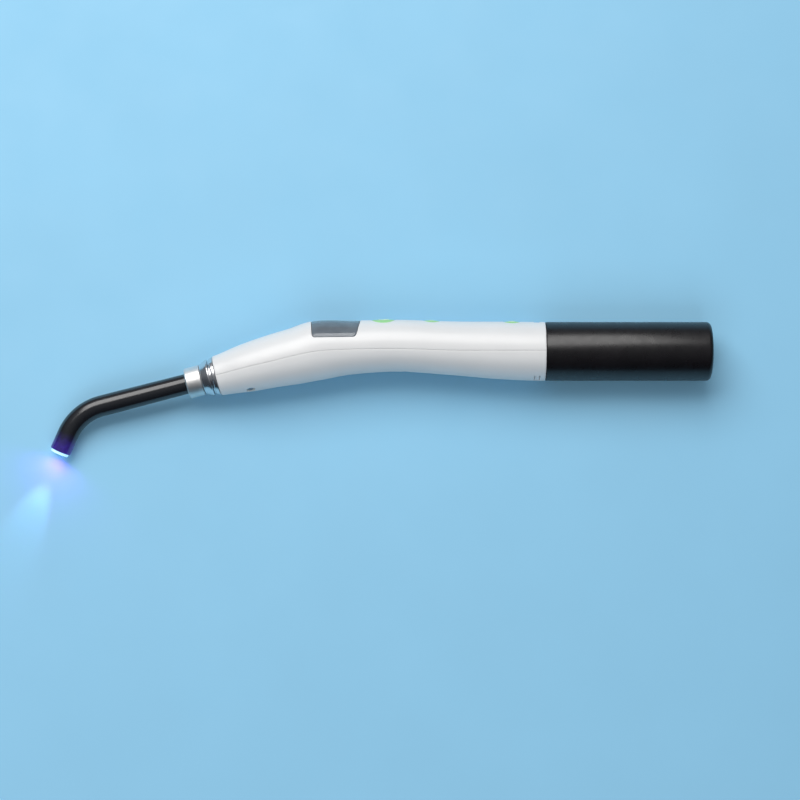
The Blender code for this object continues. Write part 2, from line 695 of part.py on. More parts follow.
def build_electronics():
    centre = (BOARD_FRONT + BOARD_REAR) / 2
    size = (BOARD_REAR - BOARD_FRONT, BOARD_WIDTH, BOARD_THICKNESS)
    board = box("main_board", size, TOOL, BOARD_GREEN, (centre, 0, BOARD_TOP - BOARD_THICKNESS / 2))
    boolean(board, upright("board_hole_mid", MIDDLE_SCREW_X, 1.4 * MM, 0, 6 * MM))
    for k, x in enumerate(BOARD_SCREWS):
        boolean(board, upright("board_hole_%d" % k, x, 1.0 * MM, 0, 6 * MM))
        turned(
            "board_screw_%d" % (k + 1),
            [
                (0, BOARD_TOP + 1.0 * MM),
                (1.5 * MM, BOARD_TOP + 1.0 * MM),
                (1.5 * MM, BOARD_TOP + SEAT),
                (0.8 * MM, BOARD_TOP + SEAT),
                (0.8 * MM, BOARD_BOTTOM - 6.0 * MM),
                (0, BOARD_BOTTOM - 6.0 * MM),
            ],
            TOOL, STEEL, (x, 0, 0), steps=SMALL_STEPS,
        )
    frame_low = BOARD_TOP + 1.25 * MM
    at = (LCD_CENTRE, 0, frame_low + 0.95 * MM)
    frame = box("display_frame", (18 * MM, 13 * MM, 1.9 * MM), TOOL, CHIP, at)
    boolean(frame, box("display_frame_cut", (15 * MM, 10 * MM, 4 * MM), TOOL, None, at, cutter=True))
    box("display_panel", (17.5 * MM, 13.4 * MM, 1.9 * MM), TOOL, LCD_GREY, (LCD_CENTRE, 0, 8.0 * MM))

    box("controller_chip", (9 * MM, 9 * MM, 1.2 * MM), TOOL, CHIP, (-36 * MM, 0, BOARD_TOP + SEAT + 0.6 * MM))
    below = BOARD_BOTTOM - SEAT
    coil = disc(4 * MM, below - 4 * MM, below, 0.4 * MM)
    turned("driver_coil", coil, TOOL, CHIP, (-75 * MM, 0, 0), steps=24)
    turned("buzzer", disc(4.5 * MM, below - 3 * MM, below, 0.3 * MM), TOOL, CHIP, (-40 * MM, 0, 0), steps=24)
    for side, label, mat in ((-1, "near", WIRE_RED), (1, "far", CHIP)):
        path = [
            nose_point(side * 7.9 * MM, -20.4 * MM),
            nose_point(side * 7.9 * MM, -38.0 * MM),
            Vector((-101.5 * MM, side * 7.0 * MM, 1.0 * MM)),
            Vector((BOARD_FRONT - 0.3 * MM, side * 6.0 * MM, BOARD_TOP - BOARD_THICKNESS / 2)),
        ]
        sweep("led_wire_" + label, path, [0.55 * MM] * len(path), TOOL, mat, 1)


def nose_point(across, along):
    """A point beside the nose axis, in the tool's frame."""
    return NOSE_CENTRE + NOSE_DIRECTION * along + Vector((0, across, 0))


def build_buttons():
    for name, (x, radius) in BUTTONS.items():
        at = (x, 0, 0)
        low = BOARD_TOP + SEAT
        switch = box(
            name + "_switch", (6 * MM, 6 * MM, SWITCH_HEIGHT), TOOL, CHIP, (x, 0, low + SWITCH_HEIGHT / 2)
        )
        floor = PLUNGER_TOP - 1.5 * MM - BUTTON_TRAVEL - SEAT
        boolean(switch, upright(name + "_switch_bore", x, 1.95 * MM, floor, 12 * MM))
        plunger = disc(1.7 * MM, PLUNGER_TOP - 1.5 * MM, PLUNGER_TOP - SEAT)
        turned(name + "_plunger", plunger, TOOL, WHITE, at, steps=SMALL_STEPS)
        surface = handle_top(x)
        top = surface + 0.15 * MM
        flange = surface - 3.6 * MM
        turned(
            name + "_button",
            [
                (0, top),
                (0.45 * radius, top - 0.1 * MM),
                (0.8 * radius, top - 0.4 * MM),
                (radius - 0.15 * MM, top - 0.75 * MM),
                (radius, top - 1.1 * MM),
                (radius, flange),
                (radius + 0.7 * MM, flange),
                (radius + 0.7 * MM, flange - 0.8 * MM),
                (1.7 * MM, flange - 0.8 * MM),
                (1.7 * MM, PLUNGER_TOP),
                (0, PLUNGER_TOP),
            ],
            TOOL, GREEN, at, steps=24,
        )


# ---------------------------------------------------------------- battery joint and battery

PIN_SPACING = 8.0 * MM
PIN_TRAVEL = 0.8 * MM
BLOCK_FRONT, BLOCK_REAR = -10.0 * MM, -8.5 * MM
BLOCK_LIP = 0.6 * MM
NECK_FRONT = -5.2 * MM
NECK_RADIUS = 9.25 * MM
FLANGE_FRONT, FLANGE_REAR = 2.2 * MM, 4.0 * MM
SLEEVE_INNER = 11.0 * MM
END_WALL = 1.8 * MM


def build_battery_joint():
    collar = turned("rear_collar", ring(10.45 * MM, 9.55 * MM, -8.2 * MM, -0.8 * MM), BATTERY, WHITE)
    tongues = []
    for side, angle in SNAPS.items():
        tongues.append(snap_tongue("tongue_" + side, angle, 2.0 * MM, 4.3 * MM, 10.0 * MM, 12.5 * MM))
    boolean_all(collar, tongues, "UNION")
    block = turned("contact_block", disc(10.3 * MM, BLOCK_FRONT, BLOCK_REAR, 0.2 * MM), BATTERY, CHIP)
    bores = []
    for side, label in ((-1, "plus"), (1, "minus")):
        at = (0, side * PIN_SPACING / 2, 0)
        lip = BLOCK_REAR - BLOCK_LIP
        front, rear = BLOCK_FRONT - 1 * MM, BLOCK_REAR + 1 * MM
        for kind, radius, low, high in (("bore", 1.75, front, lip), ("hole", 1.15, lip - 1 * MM, rear)):
            name = "pin_%s_%s" % (kind, label)
            bores.append(drill(name, radius * MM, low, high, BATTERY, at, steps=SMALL_STEPS))
        tip = NECK_FRONT - 0.5 * MM
        shoulder = lip - 0.2 * MM
        turned(
            "contact_pin_" + label,
            [
                (0, tip),
                (0.6 * MM, tip - 0.1 * MM),
                (0.9 * MM, tip - 0.5 * MM),
                (0.9 * MM, shoulder),
                (1.5 * MM, shoulder),
                (1.5 * MM, shoulder - 0.8 * MM),
                (0, shoulder - 0.8 * MM),
            ],
            BATTERY, GOLD, at, steps=SMALL_STEPS,
        )
        pad = disc(2.0 * MM, NECK_FRONT - 0.4 * MM, NECK_FRONT - SEAT)
        turned("battery_pad_" + label, pad, BATTERY, GOLD, at, steps=16)
    boolean_all(block, bores)


def build_battery():
    end = BATTERY_LENGTH
    turned(
        "battery_sleeve",
        [
            (0, end),
            (BATTERY_RADIUS - 1.9 * MM, end),
            (BATTERY_RADIUS - 1.2 * MM, end - 0.15 * MM),
            (BATTERY_RADIUS - 0.5 * MM, end - 0.6 * MM),
            (BATTERY_RADIUS - 0.1 * MM, end - 1.3 * MM),
            (BATTERY_RADIUS, end - 2.0 * MM),
            (BATTERY_RADIUS, 0.45 * MM),
            (BATTERY_RADIUS - 0.2 * MM, GAP),
            (SLEEVE_INNER, GAP),
            (SLEEVE_INNER, end - END_WALL),
            (0, end - END_WALL),
        ],
        BATTERY,
        BLACK,
    )
    sleeve = bpy.data.objects["battery_sleeve"]
    turned(
        "battery_neck",
        [
            (0, NECK_FRONT + 1.5 * MM),
            (7.9 * MM, NECK_FRONT + 1.5 * MM),
            (7.9 * MM, FLANGE_REAR),
            (10.7 * MM, FLANGE_REAR),
            (10.7 * MM, FLANGE_FRONT),
            (NECK_RADIUS, FLANGE_FRONT),
            (NECK_RADIUS, NECK_FRONT + 0.3 * MM),
            (NECK_RADIUS - 0.3 * MM, NECK_FRONT),
            (0, NECK_FRONT),
        ],
        BATTERY,
        BLACK,
    )
    guard = disc(7.5 * MM, NECK_FRONT + 1.9 * MM, NECK_FRONT + 3.1 * MM)
    turned("protection_board", guard, BATTERY, BOARD_GREEN, steps=24)
    cell_from = FLANGE_REAR + 0.4 * MM
    cell_to = cell_from + CELL_LENGTH
    turned("battery_cell", disc(CELL_RADIUS, cell_from, cell_to, 0.8 * MM), BATTERY, CELL_WRAP)
    turned("cell_holder", ring(10.75 * MM, 9.4 * MM, cell_from, cell_to), BATTERY, CHIP)
    foam = disc(8.5 * MM, cell_to + 0.1 * MM, end - END_WALL - 0.1 * MM)
    turned("foam_pad", foam, BATTERY, FOAM, steps=24)
    for side, label in ((-1, "plus"), (1, "minus")):
        at = (0, side * 4.5 * MM, 0)
        hole = drill("charge_hole_" + label, 2.2 * MM, end - 3 * MM, end + 1 * MM, BATTERY, at, steps=16)
        boolean(sleeve, hole)
        contact = disc(2.0 * MM, end - 1.5 * MM, end - 0.4 * MM)
        turned("charge_contact_" + label, contact, BATTERY, GOLD, at, steps=16)


# ---------------------------------------------------------------- laying the tool down

def lay_down():
    """Moves the tool so that it rests on Z = 0 with its box centred on the origin."""
    depsgraph = bpy.context.evaluated_depsgraph_get()
    low = Vector((1e9, 1e9, 1e9))
    high = -low
    for obj in PARTS.objects:
        if obj.type != "MESH":
            continue
        shown = obj.evaluated_get(depsgraph)
        mesh = shown.to_mesh()
        for vertex in mesh.vertices:
            point = shown.matrix_world @ vertex.co
            low = Vector(map(min, low, point))
            high = Vector(map(max, high, point))
        shown.to_mesh_clear()
    TOOL.location = (-(low.x + high.x) / 2, -(low.y + high.y) / 2, -low.z)


build_shells()
build_light_guide()
build_nose()
build_electronics()
build_buttons()
build_battery_joint()
build_battery()
lay_down()
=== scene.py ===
"""The looks of a cordless dental curing light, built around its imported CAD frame.

Pieces are modelled in the tool's own frames, in metres. TOOL has X along the battery towards its end cap
and Z out of the keypad. NOSE has Z along the light guide where it leaves the handle. BATTERY has Z along
the battery. TOOL is worked out from the frame's joints and mounts, and the other two follow from it.
"""

import json
import math

import bmesh
import bpy
from mathutils import Matrix, Vector
from mathutils.bvhtree import BVHTree


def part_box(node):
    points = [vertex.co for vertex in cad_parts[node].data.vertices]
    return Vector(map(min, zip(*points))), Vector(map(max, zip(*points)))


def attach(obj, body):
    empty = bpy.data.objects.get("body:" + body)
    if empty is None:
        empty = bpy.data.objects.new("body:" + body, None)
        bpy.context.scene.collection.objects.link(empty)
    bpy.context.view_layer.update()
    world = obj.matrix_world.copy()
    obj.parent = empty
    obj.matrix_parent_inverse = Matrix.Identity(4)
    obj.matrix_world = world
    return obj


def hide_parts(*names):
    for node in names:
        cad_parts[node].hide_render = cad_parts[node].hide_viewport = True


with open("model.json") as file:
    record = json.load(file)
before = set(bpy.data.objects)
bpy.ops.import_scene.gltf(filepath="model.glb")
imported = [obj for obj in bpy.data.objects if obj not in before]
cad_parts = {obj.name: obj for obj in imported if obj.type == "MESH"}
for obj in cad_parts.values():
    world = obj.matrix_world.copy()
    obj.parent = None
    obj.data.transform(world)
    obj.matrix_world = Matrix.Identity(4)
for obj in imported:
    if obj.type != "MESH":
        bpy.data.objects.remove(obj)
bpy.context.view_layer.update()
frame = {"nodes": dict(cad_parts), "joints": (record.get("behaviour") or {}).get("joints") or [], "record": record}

MM = 0.001
GAP = 0.25 * MM  # clearance between pieces that meet

# Driving dimensions of the handle, the battery and the light guide
BATTERY_RADIUS = 12.8 * MM
BATTERY_LENGTH = 72.0 * MM
HANDLE_LENGTH = 142.6 * MM
NOSE_DROP = 10.7 * MM
NOSE_TILT = math.radians(14.5)
NOSE_TAPER = 0.067
WALL = 1.6 * MM
GUIDE_REACH = 62.7 * MM
GUIDE_BEND = math.radians(51.2)
BEND_RADIUS = 22.0 * MM
TIP_LENGTH = 18.7 * MM
JACKET_RADIUS_NOSE = 4.3 * MM
JACKET_RADIUS_TIP = 4.6 * MM
JACKET_WALL = 0.55 * MM
ROD_GAP = 0.12 * MM
ROD_PROUD = 1.2 * MM

# The handle's sections from rear to nose, in mm: x, height of the spine, half height, half width, and how
# far the parting line lies above the spine
HANDLE_SECTIONS = [
    (0.0, 0.0, 12.8, 12.8, 0.6),
    (-20.0, 0.45, 12.5, 12.6, 0.15),
    (-40.0, 1.35, 11.7, 12.2, -0.7),
    (-64.0, 2.45, 11.3, 11.9, -1.1),
    (-84.0, 1.7, 11.75, 12.1, -0.6),
    (-98.0, 0.55, 12.95, 12.4, -0.2),
    (-108.0, -1.95, 12.3, 12.4, 0.4),
    (-118.0, -4.2, 11.55, 11.95, 0.2),
    (-130.0, -7.3, 10.5, 11.0, 0.45),
    (-142.6, -10.7, 8.75, 8.75, 0.5),
]

LCD_FRONT = -101.0 * MM  # the display opening at its two side edges
LCD_REAR = -81.8 * MM
LCD_HALF_WIDTH = 11.0 * MM
LCD_FRONT_BULGE = 0.6 * MM
LCD_REAR_BULGE = 1.7 * MM
LCD_LEDGE = 5.5 * MM  # height of the ledge under the window's long edges
LCD_CORNER = 1.4 * MM
BUTTONS = {"power": (-70.2 * MM, 5.0 * MM), "mode": (-49.2 * MM, 3.5 * MM), "timer": (-14.4 * MM, 3.5 * MM)}
BUTTON_CLEARANCE = 0.3 * MM
PLUNGER_TOP = 8.0 * MM
BOARD_TOP = 3.6 * MM
BOARD_BOTTOM = 2.4 * MM
BOARD_SCREWS = (-90.0 * MM, -24.0 * MM)
MIDDLE_SCREW_X = -60.5 * MM
MIDDLE_SEAT = -4.0 * MM
SEAT = 0.05 * MM
FRONT_SCREW_ANGLE = math.radians(25)  # from the underside, on either side
FRONT_SCREW_AT = -13.1 * MM  # along the nose axis
CRADLE_AT = -23.7 * MM
CRADLE_ANGLE = math.radians(40)
SNAP_X = -3.6 * MM
SNAP_LEAN = math.radians(24)
SNAPS = {"top": 0.0, "near": math.pi - SNAP_LEAN, "far": math.pi + SNAP_LEAN}
FERRULE_REAR = 6.7 * MM
FERRULE_FRONT = 13.5 * MM
STEM_REAR = -13.7 * MM
STEM_RADIUS = 5.2 * MM
SOCKET_RADIUS = 5.5 * MM

ROUND = 96  # faces round a turned piece
FINE = 0.02 * MM  # how far a cutter stands clear of a surface it must cross
MERGE = 0.002 * MM  # points closer than this become one after a Boolean
OUTSIDE = 30 * MM  # clear of the handle in any direction from its spine
CUT_TURN = 0.11  # turns a round cutter, so that its edges miss those of the piece it cuts
EDGE_STEPS = 3  # faces round a rounded edge
SHARP_ANGLE = math.radians(40)
PARTING_GAP = 0.06 * MM  # the halves are pressed together
LAP = 0.8 * MM  # wall outside the tongue
TONGUE = 1.0 * MM
WINDOW_GAP = 0.2 * MM
HEAD_HOLE = 1.85 * MM  # clears a screw's head
NECK_FRONT = -5.2 * MM  # the battery's plug-in end, along the battery
GLOW_REACH = 12.0 * MM  # how far from the exit the painted blue glow on the jacket reaches
BEAM_SPREAD = 2.5  # how much wider the beam is across the floor than in height


# -------------------- frames

def tool_matrix():
    """The tool's frame, from the battery's and the keypad's joints and the battery's end face."""
    joints = {joint["name"]: joint for joint in frame["joints"]}
    mounts = {mount["name"]: mount for mount in frame["record"]["mounts"]}
    along = Vector(joints["battery_pull"]["axis"]).normalized()
    out = -Vector(joints["power_press"]["axis"]).normalized()
    side = out.cross(along)
    turn = Matrix((along, side, out)).transposed().to_4x4()
    origin = Vector(mounts["rear_face"]["pos_m"]) - along * BATTERY_LENGTH
    return Matrix.Translation(origin) @ turn


TOOL = tool_matrix()
NOSE = TOOL @ Matrix.Translation((-HANDLE_LENGTH, 0, -NOSE_DROP)) @ Matrix.Rotation(
    -math.pi / 2 - NOSE_TILT, 4, "Y"
)
NOSE_IN_TOOL = TOOL.inverted() @ NOSE
BATTERY = TOOL @ Matrix.Rotation(math.pi / 2, 4, "Y")


# -------------------- the handle's outer surface

def handle_section(x):
    """The section at x: height and slope of the spine, half height, half width, rise of the parting line."""
    x_mm = max(min(x / MM, HANDLE_SECTIONS[0][0]), HANDLE_SECTIONS[-1][0])
    last = len(HANDLE_SECTIONS) - 1
    k = next(i for i in range(last) if x_mm >= HANDLE_SECTIONS[i + 1][0])
    first, second = HANDLE_SECTIONS[k], HANDLE_SECTIONS[k + 1]
    span = second[0] - first[0]
    t = (x_mm - first[0]) / span

    def tangent(i, column):
        if i == 0:
            return 0.0
        if i == last:
            return {1: math.tan(NOSE_TILT), 4: 0.0}.get(column, NOSE_TAPER)
        before, after = HANDLE_SECTIONS[i - 1], HANDLE_SECTIONS[i + 1]
        return (after[column] - before[column]) / (after[0] - before[0])

    values = []
    slope = 0.0
    for column in (1, 2, 3, 4):
        p0, p1 = first[column], second[column]
        m0, m1 = tangent(k, column) * span, tangent(k + 1, column) * span
        value = (
            p0 * (2 * t**3 - 3 * t**2 + 1)
            + m0 * (t**3 - 2 * t**2 + t)
            + p1 * (3 * t**2 - 2 * t**3)
            + m1 * (t**3 - t**2)
        )
        values.append(value * MM)
        if column == 1:
            rise = (p1 - p0) * (6 * t - 6 * t**2) + m0 * (3 * t**2 - 4 * t + 1) + m1 * (3 * t**2 - 2 * t)
            slope = rise / span
    return values[0], slope, values[1], values[2], values[3]


def handle_top(x):
    spine, _, half_height, _, _ = handle_section(x)
    return spine + half_height


def handle_bottom(x):
    spine, _, half_height, _, _ = handle_section(x)
    return spine - half_height


def section_ring(x, points):
    """Places (across, height) points on the plane of the section at x, which is square to the spine."""
    spine, slope, _, _, _ = handle_section(x)
    length = math.hypot(1.0, slope)
    up = Vector((-slope / length, 0, 1 / length))
    return [Vector((x, across, spine)) + up * height for across, height in points]


def half_profile(x, upper, inset, edge, steps):
    """The (across, height) outline of a half section, with its parting edges rounded. The lower half has a
    tongue along its inner side, which fits into a step in the upper half."""
    _, _, half_height, half_width, rise = handle_section(x)
    sign = 1 if upper else -1
    level = rise + sign * PARTING_GAP / 2

    def arc(inward, start, count):
        high, wide = half_height - inward, half_width - inward
        first = math.asin(max(-1.0, min(1.0, sign * start / high)))
        angles = [first + (math.pi - 2 * first) * j / count for j in range(count + 1)]
        return [(wide * math.cos(a), sign * high * math.sin(a)) for a in angles]

    body = arc(inset, level + sign * edge, steps)
    rim = body[0][0]
    turn = [math.pi / 2 * j / EDGE_STEPS for j in range(EDGE_STEPS)]
    corner = [(rim - edge + edge * math.sin(a), level + sign * edge * (1 - math.cos(a))) for a in turn]
    outer = corner + body + [(-across, high) for across, high in reversed(corner)]
    lap = half_width - LAP
    if upper:
        step = level + TONGUE
        inner = arc(WALL, step, steps)
        joint = [(lap + PARTING_GAP, level), (lap + PARTING_GAP, step)]
    else:
        step = level + TONGUE - PARTING_GAP
        inner = arc(WALL, level, steps)
        joint = [(lap, level), (lap, step), (inner[0][0], step)]
    return outer + [(-across, high) for across, high in joint] + inner[::-1] + joint[::-1]


# -------------------- mesh helpers

def in_mm(*points):
    return [(a * MM, b * MM) for a, b in points]


def angles_round(steps, turn=0.0):
    return [turn + 2 * math.pi * j / steps for j in range(steps)]


def quarter(radius, steps=EDGE_STEPS):
    """Points round a rounded corner, as distances from its two faces: (0, radius) to (radius, 0)."""
    angles = [math.pi / 2 * j / steps for j in range(steps + 1)]
    return [(radius * (1 - math.cos(a)), radius * (1 - math.sin(a))) for a in angles]


def linked(name, data):
    obj = bpy.data.objects.new(name, data)
    bpy.context.scene.collection.objects.link(obj)
    return obj


def add_cube(shape, size):
    corners = bmesh.ops.create_cube(shape, size=1.0)["verts"]
    bmesh.ops.scale(shape, vec=size, verts=corners)
    return corners


def to_mesh(name, shape):
    bmesh.ops.recalc_face_normals(shape, faces=shape.faces)
    mesh = bpy.data.meshes.new(name)
    shape.to_mesh(mesh)
    shape.free()
    return mesh


def join_loops(shape, first, second):
    """Faces between two loops, either of which may be a single point on the axis."""
    count = max(len(first), len(second))
    for j in range(count):
        k = (j + 1) % count
        near = [first[j % len(first)], first[k % len(first)]]
        far = [second[k % len(second)], second[j % len(second)]]
        shape.faces.new(list(dict.fromkeys(near + far)))


def skin(name, loops, closed=False):
    """A closed surface through loops of points. Unless it closes on itself, its two ends are capped."""
    shape = bmesh.new()
    made = [[shape.verts.new(point) for point in loop] for loop in loops]
    for first, second in zip(made, made[1:]):
        join_loops(shape, first, second)
    if closed:
        join_loops(shape, made[-1], made[0])
    else:
        for loop in (made[0], made[-1]):
            if len(loop) > 2:
                shape.faces.new(loop)
    return to_mesh(name, shape)


def rounded(points, edge, closed):
    """The points of a flat line, with its corners turned into curves that start up to edge away from them."""
    made = []
    count = len(points)
    for i, point in enumerate(points):
        here = Vector(point)
        if not closed and i in (0, count - 1):
            made.append(here)
            continue
        back = Vector(points[i - 1]) - here
        on = Vector(points[(i + 1) % count]) - here
        if math.pi - back.angle(on) < math.radians(12):
            made.append(here)
            continue
        reach = min(edge, 0.45 * back.length, 0.45 * on.length)
        start, end = here + back.normalized() * reach, here + on.normalized() * reach
        for j in range(EDGE_STEPS + 1):
            t = j / EDGE_STEPS
            made.append(start * (1 - t) ** 2 + here * (2 * t * (1 - t)) + end * t**2)
    return made


def circle(radius, z=0.0, steps=ROUND, turn=0.0):
    return [Vector((radius * math.cos(a), radius * math.sin(a), z)) for a in angles_round(steps, turn)]


def turned(name, profile, edge=0.0, steps=ROUND, turn=0.0):
    """A piece turned about Z from (radius, z) points: solid if they start on the axis, else a ring."""
    closed = profile[0][0] > 0
    points = rounded(profile, edge, closed) if edge else [Vector(point) for point in profile]
    loops = [circle(p.x, p.y, steps, turn) if p.x > 0 else [Vector((0, 0, p.y))] for p in points]
    return skin(name, loops, closed)


def ring(outer, inner, low, high):
    return [(outer, high), (outer, low), (inner, low), (inner, high)]


def disc(radius, low, high):
    return [(0, high), (radius, high), (radius, low), (0, low)]


def block(name, size, edge=0.0):
    """A box with rounded edges, centred on its frame's origin."""
    shape = bmesh.new()
    add_cube(shape, size)
    if edge:
        bmesh.ops.bevel(
            shape, geom=shape.edges[:], offset=edge, segments=EDGE_STEPS, affect="EDGES", profile=0.5
        )
    return to_mesh(name, shape)


def combined(mesh, others, operation="DIFFERENCE"):
    """The mesh after one Boolean with all the others, each a mesh and its place in this one's frame."""
    group = bpy.data.collections.new("operands")
    bpy.context.scene.collection.children.link(group)
    base = linked("base", mesh)
    operands = []
    for other, matrix in others:
        operand = bpy.data.objects.new("operand", other)
        operand.matrix_world = matrix
        group.objects.link(operand)
        operands.append(operand)
    modifier = base.modifiers.new("combine", "BOOLEAN")
    modifier.operand_type = "COLLECTION"
    modifier.collection = group
    modifier.operation = operation
    modifier.solver = "EXACT"
    bpy.context.view_layer.update()
    made = bpy.data.meshes.new_from_object(base.evaluated_get(bpy.context.evaluated_depsgraph_get()))
    for obj in [base, *operands]:
        bpy.data.objects.remove(obj)
    bpy.data.collections.remove(group)
    shape = bmesh.new()
    shape.from_mesh(made)
    bmesh.ops.remove_doubles(shape, verts=shape.verts, dist=MERGE)
    bmesh.ops.dissolve_degenerate(shape, dist=MERGE / 2, edges=shape.edges)
    shape.to_mesh(made)
    shape.free()
    return made


def piece(name, mesh, matrix, body, nodes, mat):
    """Shades a mesh, sets it in place and lets it ride on a body in place of the CAD nodes it stands for."""
    mesh.transform(matrix)
    obj = linked(name, mesh)
    mesh.materials.clear()
    mesh.materials.append(mat)
    mesh.shade_smooth()
    mesh.set_sharp_from_angle(angle=SHARP_ANGLE)
    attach(obj, body)
    if nodes:
        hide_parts(*nodes)
    return obj


def rim_cutter(name, outline, place, surface, low, edge):
    """A plug that cuts an opening of this outline through a curved wall and rounds the opening's rim.
    The outline lies across the place's Z axis. The surface is the wall's outer face in the tool's frame."""
    area = sum(a[0] * b[1] - b[0] * a[1] for a, b in zip(outline, outline[1:] + outline[:1]))
    points = [Vector((u, v, 0)) for u, v in (outline if area > 0 else reversed(outline))]
    count = len(points)
    outwards = []
    for i in range(count):
        along = points[(i + 1) % count] - points[i - 1]
        outwards.append(Vector((along.y, -along.x, 0)).normalized())
    down = -(place.to_3x3() @ Vector((0, 0, 1)))
    back = place.inverted()

    def level(offset, height):
        loop = []
        for point, outward in zip(points, outwards):
            at = point + outward * offset
            start = place @ Vector((at.x, at.y, OUTSIDE))
            hit = surface.ray_cast(start, down)[0]
            loop.append(Vector((at.x, at.y, (back @ hit).z + height)))
        return loop

    loops = [[Vector((p.x, p.y, low)) for p in points]]
    for out, deep in quarter(edge):
        loops.append(level(out, FINE - deep))
    loops.append([Vector((p.x, p.y, OUTSIDE)) for p in loops[-1]])
    return skin(name, loops), place


def tree_of(mesh):
    shape = bmesh.new()
    shape.from_mesh(mesh)
    made = BVHTree.FromBMesh(shape)
    shape.free()
    return made


# -------------------- handle shells

SHELL_ROUND = 44  # faces round each half shell
SHELL_STATIONS = 150
PARTING_EDGE = 0.14 * MM
REAR_EDGE = 0.25 * MM
NOSE_EDGE = 0.5 * MM
RIM_EDGE = 0.22 * MM


def shell_mesh(name, upper):
    """One half of the handle, with its parting edges and its two ends rounded."""
    stations = [(-back, inset) for back, inset in quarter(REAR_EDGE, 4)[:-1]]
    length = HANDLE_LENGTH - REAR_EDGE - NOSE_EDGE
    stations += [(-REAR_EDGE - length * i / SHELL_STATIONS, 0.0) for i in range(SHELL_STATIONS + 1)]
    front = [(-HANDLE_LENGTH + back, inset) for back, inset in quarter(NOSE_EDGE, 4)[:-1]]
    stations += reversed(front)
    loops = []
    for x, inset in stations:
        loops.append(section_ring(x, half_profile(x, upper, inset, PARTING_EDGE, SHELL_ROUND)))
    return skin(name, loops)


def upright(x, radius, low, high):
    post = turned("upright", disc(radius, low, high), steps=32, turn=CUT_TURN)
    return post, Matrix.Translation((x, 0, 0))


def nose_radial(angle, along):
    """A frame whose Z points away from the nose axis, at this angle from the underside."""
    direction = Vector((-math.cos(angle), math.sin(angle), 0))
    turn = direction.to_track_quat("Z", "Y").to_matrix().to_4x4()
    return NOSE_IN_TOOL @ Matrix.Translation((0, 0, along)) @ turn


def nose_post(angle, radius, low, high, along):
    return turned("post", disc(radius, low, high), steps=32, turn=CUT_TURN), nose_radial(angle, along)


def snap_place(angle):
    """A frame at the handle's rear end whose Z points away from the battery's axis, from the top at 0."""
    return Matrix.Translation((SNAP_X, 0, 0)) @ Matrix.Rotation(angle, 4, "X")


def snap_window(angle, surface):
    along, across, corner = 1.25 * MM, 2.4 * MM, 0.35 * MM
    corners = [(-along, -across), (along, -across), (along, across), (-along, across)]
    outline = [(p.x, p.y) for p in rounded(corners, corner, True)]
    return rim_cutter("snap_window", outline, snap_place(angle), surface, 9 * MM, 0.12 * MM)


def round_hole(radius, place, surface, low, steps=64):
    outline = [(p.x, p.y) for p in circle(radius, steps=steps, turn=CUT_TURN)]
    return rim_cutter("hole", outline, place, surface, low, RIM_EDGE)


def display_outline(inset):
    """Outline of the display opening: straight sides, bowed ends and round corners."""
    half = LCD_HALF_WIDTH - inset
    flat = half - LCD_CORNER
    outline = []
    rear, front = LCD_REAR - inset, LCD_FRONT + inset
    for side, bulge, end in ((1, LCD_REAR_BULGE, rear), (-1, -LCD_FRONT_BULGE, front)):

        def bow(y):
            return end + bulge * (1 - (y / half) ** 2)

        bowed = [(bow(y), side * y) for y in (-flat + 2 * flat * i / 20 for i in range(21))]
        for at_side in (-1, 1):
            start = Vector((end - side * LCD_CORNER, at_side * side * half))
            finish = Vector(bowed[0] if at_side < 0 else bowed[-1])
            control = Vector((bow(half), at_side * side * half))
            corner = []
            for j in range(7):
                t = j / 7
                corner.append(start * (1 - t) ** 2 + control * (2 * t * (1 - t)) + finish * t**2)
            corner = [(p.x, p.y) for p in corner]
            if at_side < 0:
                outline += corner + bowed
            else:
                outline += reversed(corner)
    return outline


